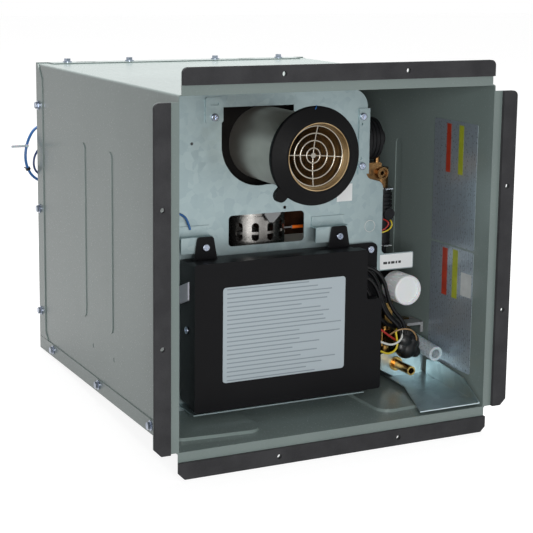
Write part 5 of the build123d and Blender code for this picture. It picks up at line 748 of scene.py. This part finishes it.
# middle, inner and outer radius, thickness, steps and ink
PLATE_MARKS = {
    "round_stamp": (at(87.2, PLATE_FACE - 0.1, 166.3), 0.0054, 0.0060, 0.0003, 48, "white"),
    "plate_ink_dot": (at(-104.0, PLATE_FACE - 0.05, 256.7), 0.0001, 0.0014, 0.0002, 24, "dark"),
}
for name, (middle, inner, outer, width, steps, ink) in PLATE_MARKS.items():
    work = bmesh.new()
    band_into(work, middle, Vector((0, 1, 0)), inner, outer, width, steps)
    mesh_piece(name, work, INKS[ink])
TICK_ROUTE = (at(-27.0, 6.3, 294.6), at(-25.4, 7.2, 296.7), at(-24.0, 9.6, 297.6))
wire("ring_ink_tick", TICK_ROUTE, TICK_RADIUS_MM, INSULATION["blue"])
print("marked the arm with", len(DASHES), "dashes, the ring with a tick")

# %% [markdown]
# A short end of blue wire shows in front of the plate at the left. It comes from behind the
# flange and bends down.

# %% Short blue wire end
STUB_ROUTE = (at(-118.5, 98.4, 193.0), at(-113.5, 98.2, 191.6), at(-108.6, 98.0, 185.5),
              at(-106.3, 98.3, 177.2))
wire("blue_wire_end", STUB_ROUTE, WIRE_RADIUS_MM, INSULATION["blue"])
print("wire end of", len(STUB_ROUTE), "points")

# %% [markdown]
# The floor is a plain pale sheet. The heater rests on its front flange and on the lower back edge,
# so the floor lies at that slight slope against the frame. A white sheet would throw too much light
# up at the walls, so it is grey for the lamps, and seen directly or in a reflection it glows nearly
# white by itself, which keeps it pale without lighting the heater more.

# %% Floor
REACH = 4.0
GAP_BELOW = Vector((0, 0, 0.0004))  # keeps the feet from touching the floor
FLOOR_GLOW = 0.87
WHITE = (1.0, 1.0, 1.0, 1.0)


def seen_by_viewer(tree):
    """1 for a ray from the camera, off a shiny face or through a clear one, and 0 for others."""
    rays = add(tree, "LightPath")
    seen = rays.outputs["Is Camera Ray"]
    for kind in ("Is Glossy Ray", "Is Transmission Ray"):
        seen = add(tree, "Math", {0: seen, 1: rays.outputs[kind]}, operation="MAXIMUM").outputs[0]
    return seen


front_foot = Vector((0.0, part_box("foam_strips")[0].y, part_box("foam_strips")[0].z))
back_foot = Vector((0.0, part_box("rear_cover")[1].y, at(0, 0, 0).z))
slope = (back_foot - front_foot).normalized()
work = bmesh.new()
corners = [front_foot + Vector((side * REACH, 0, 0)) + slope * run - GAP_BELOW
           for side, run in ((-1, -REACH), (1, -REACH), (1, REACH), (-1, REACH))]
work.faces.new([work.verts.new(corner) for corner in corners])
floor_mesh = bpy.data.meshes.new("studio_floor")
work.to_mesh(floor_mesh)
work.free()
floor = bpy.data.objects.new("studio_floor", floor_mesh)
bpy.context.scene.collection.objects.link(floor)

paper = bpy.data.materials.new("white_backdrop_paper")
paper.use_nodes = True
tree, shader = parts_of(paper)
shader.inputs["Base Color"].default_value = linear("#7C7C7C")
shader.inputs["Roughness"].default_value = 0.9
lift = add(tree, "Math", {0: seen_by_viewer(tree), 1: FLOOR_GLOW}, operation="MULTIPLY")
shader.inputs["Emission Color"].default_value = WHITE
tree.links.new(lift.outputs[0], shader.inputs["Emission Strength"])
floor_mesh.materials.append(paper)
print("floor slopes", round(math.degrees(math.asin(slope.z)), 2), "degrees")

# %% [markdown]
# The backdrop is the world. Seen straight, in metal or through the hose it is plain white, and for
# all other rays it is a weak even light. Three large softboxes do the rest: a strong one above,
# which makes the roof nearly white, a low one at the front left, which looks past the control box
# at the right-hand wall, and a weak one from the left.

# %% World and lamps
AMBIENT = 0.23
world = bpy.data.worlds.new("studio")
world.use_nodes = True
bpy.context.scene.world = world
tree = world.node_tree
ambient = add(tree, "Background", {"Color": WHITE, "Strength": AMBIENT})
backdrop = add(tree, "Background", {"Color": WHITE, "Strength": 1.0})
both = add(tree, "MixShader", {0: seen_by_viewer(tree), 1: ambient.outputs[0],
                               2: backdrop.outputs[0]})
tree.links.new(both.outputs[0], tree.nodes["World Output"].inputs["Surface"])


def softbox(name, place, aim, size, power):
    """A square area lamp that looks at a point."""
    lamp = bpy.data.lights.new(name, "AREA")
    lamp.shape = "SQUARE"
    lamp.size = size
    lamp.energy = power
    stand = bpy.data.objects.new(name, lamp)
    bpy.context.scene.collection.objects.link(stand)
    stand.location = place
    stand.rotation_mode = "QUATERNION"
    stand.rotation_quaternion = (Vector(aim) - Vector(place)).to_track_quat("-Z", "Y")


softbox("softbox_top", (0.35, 0.35, 1.7), aim=(0.1, 0, 0.15), size=1.3, power=52.0)
softbox("softbox_front", (-0.7, -1.85, 0.40), aim=(0.1, -0.1, 0.17), size=0.8, power=21.0)
softbox("softbox_left", (-1.6, 0.1, 0.9), aim=(0, 0, 0.15), size=1.0, power=0.6)
print("three lamps set")

# %% [markdown]
# The picture is shown without a film look, so a colour renders as it is written.

bpy.context.scene.view_settings.view_transform = "Standard"
bpy.context.view_layer.update()
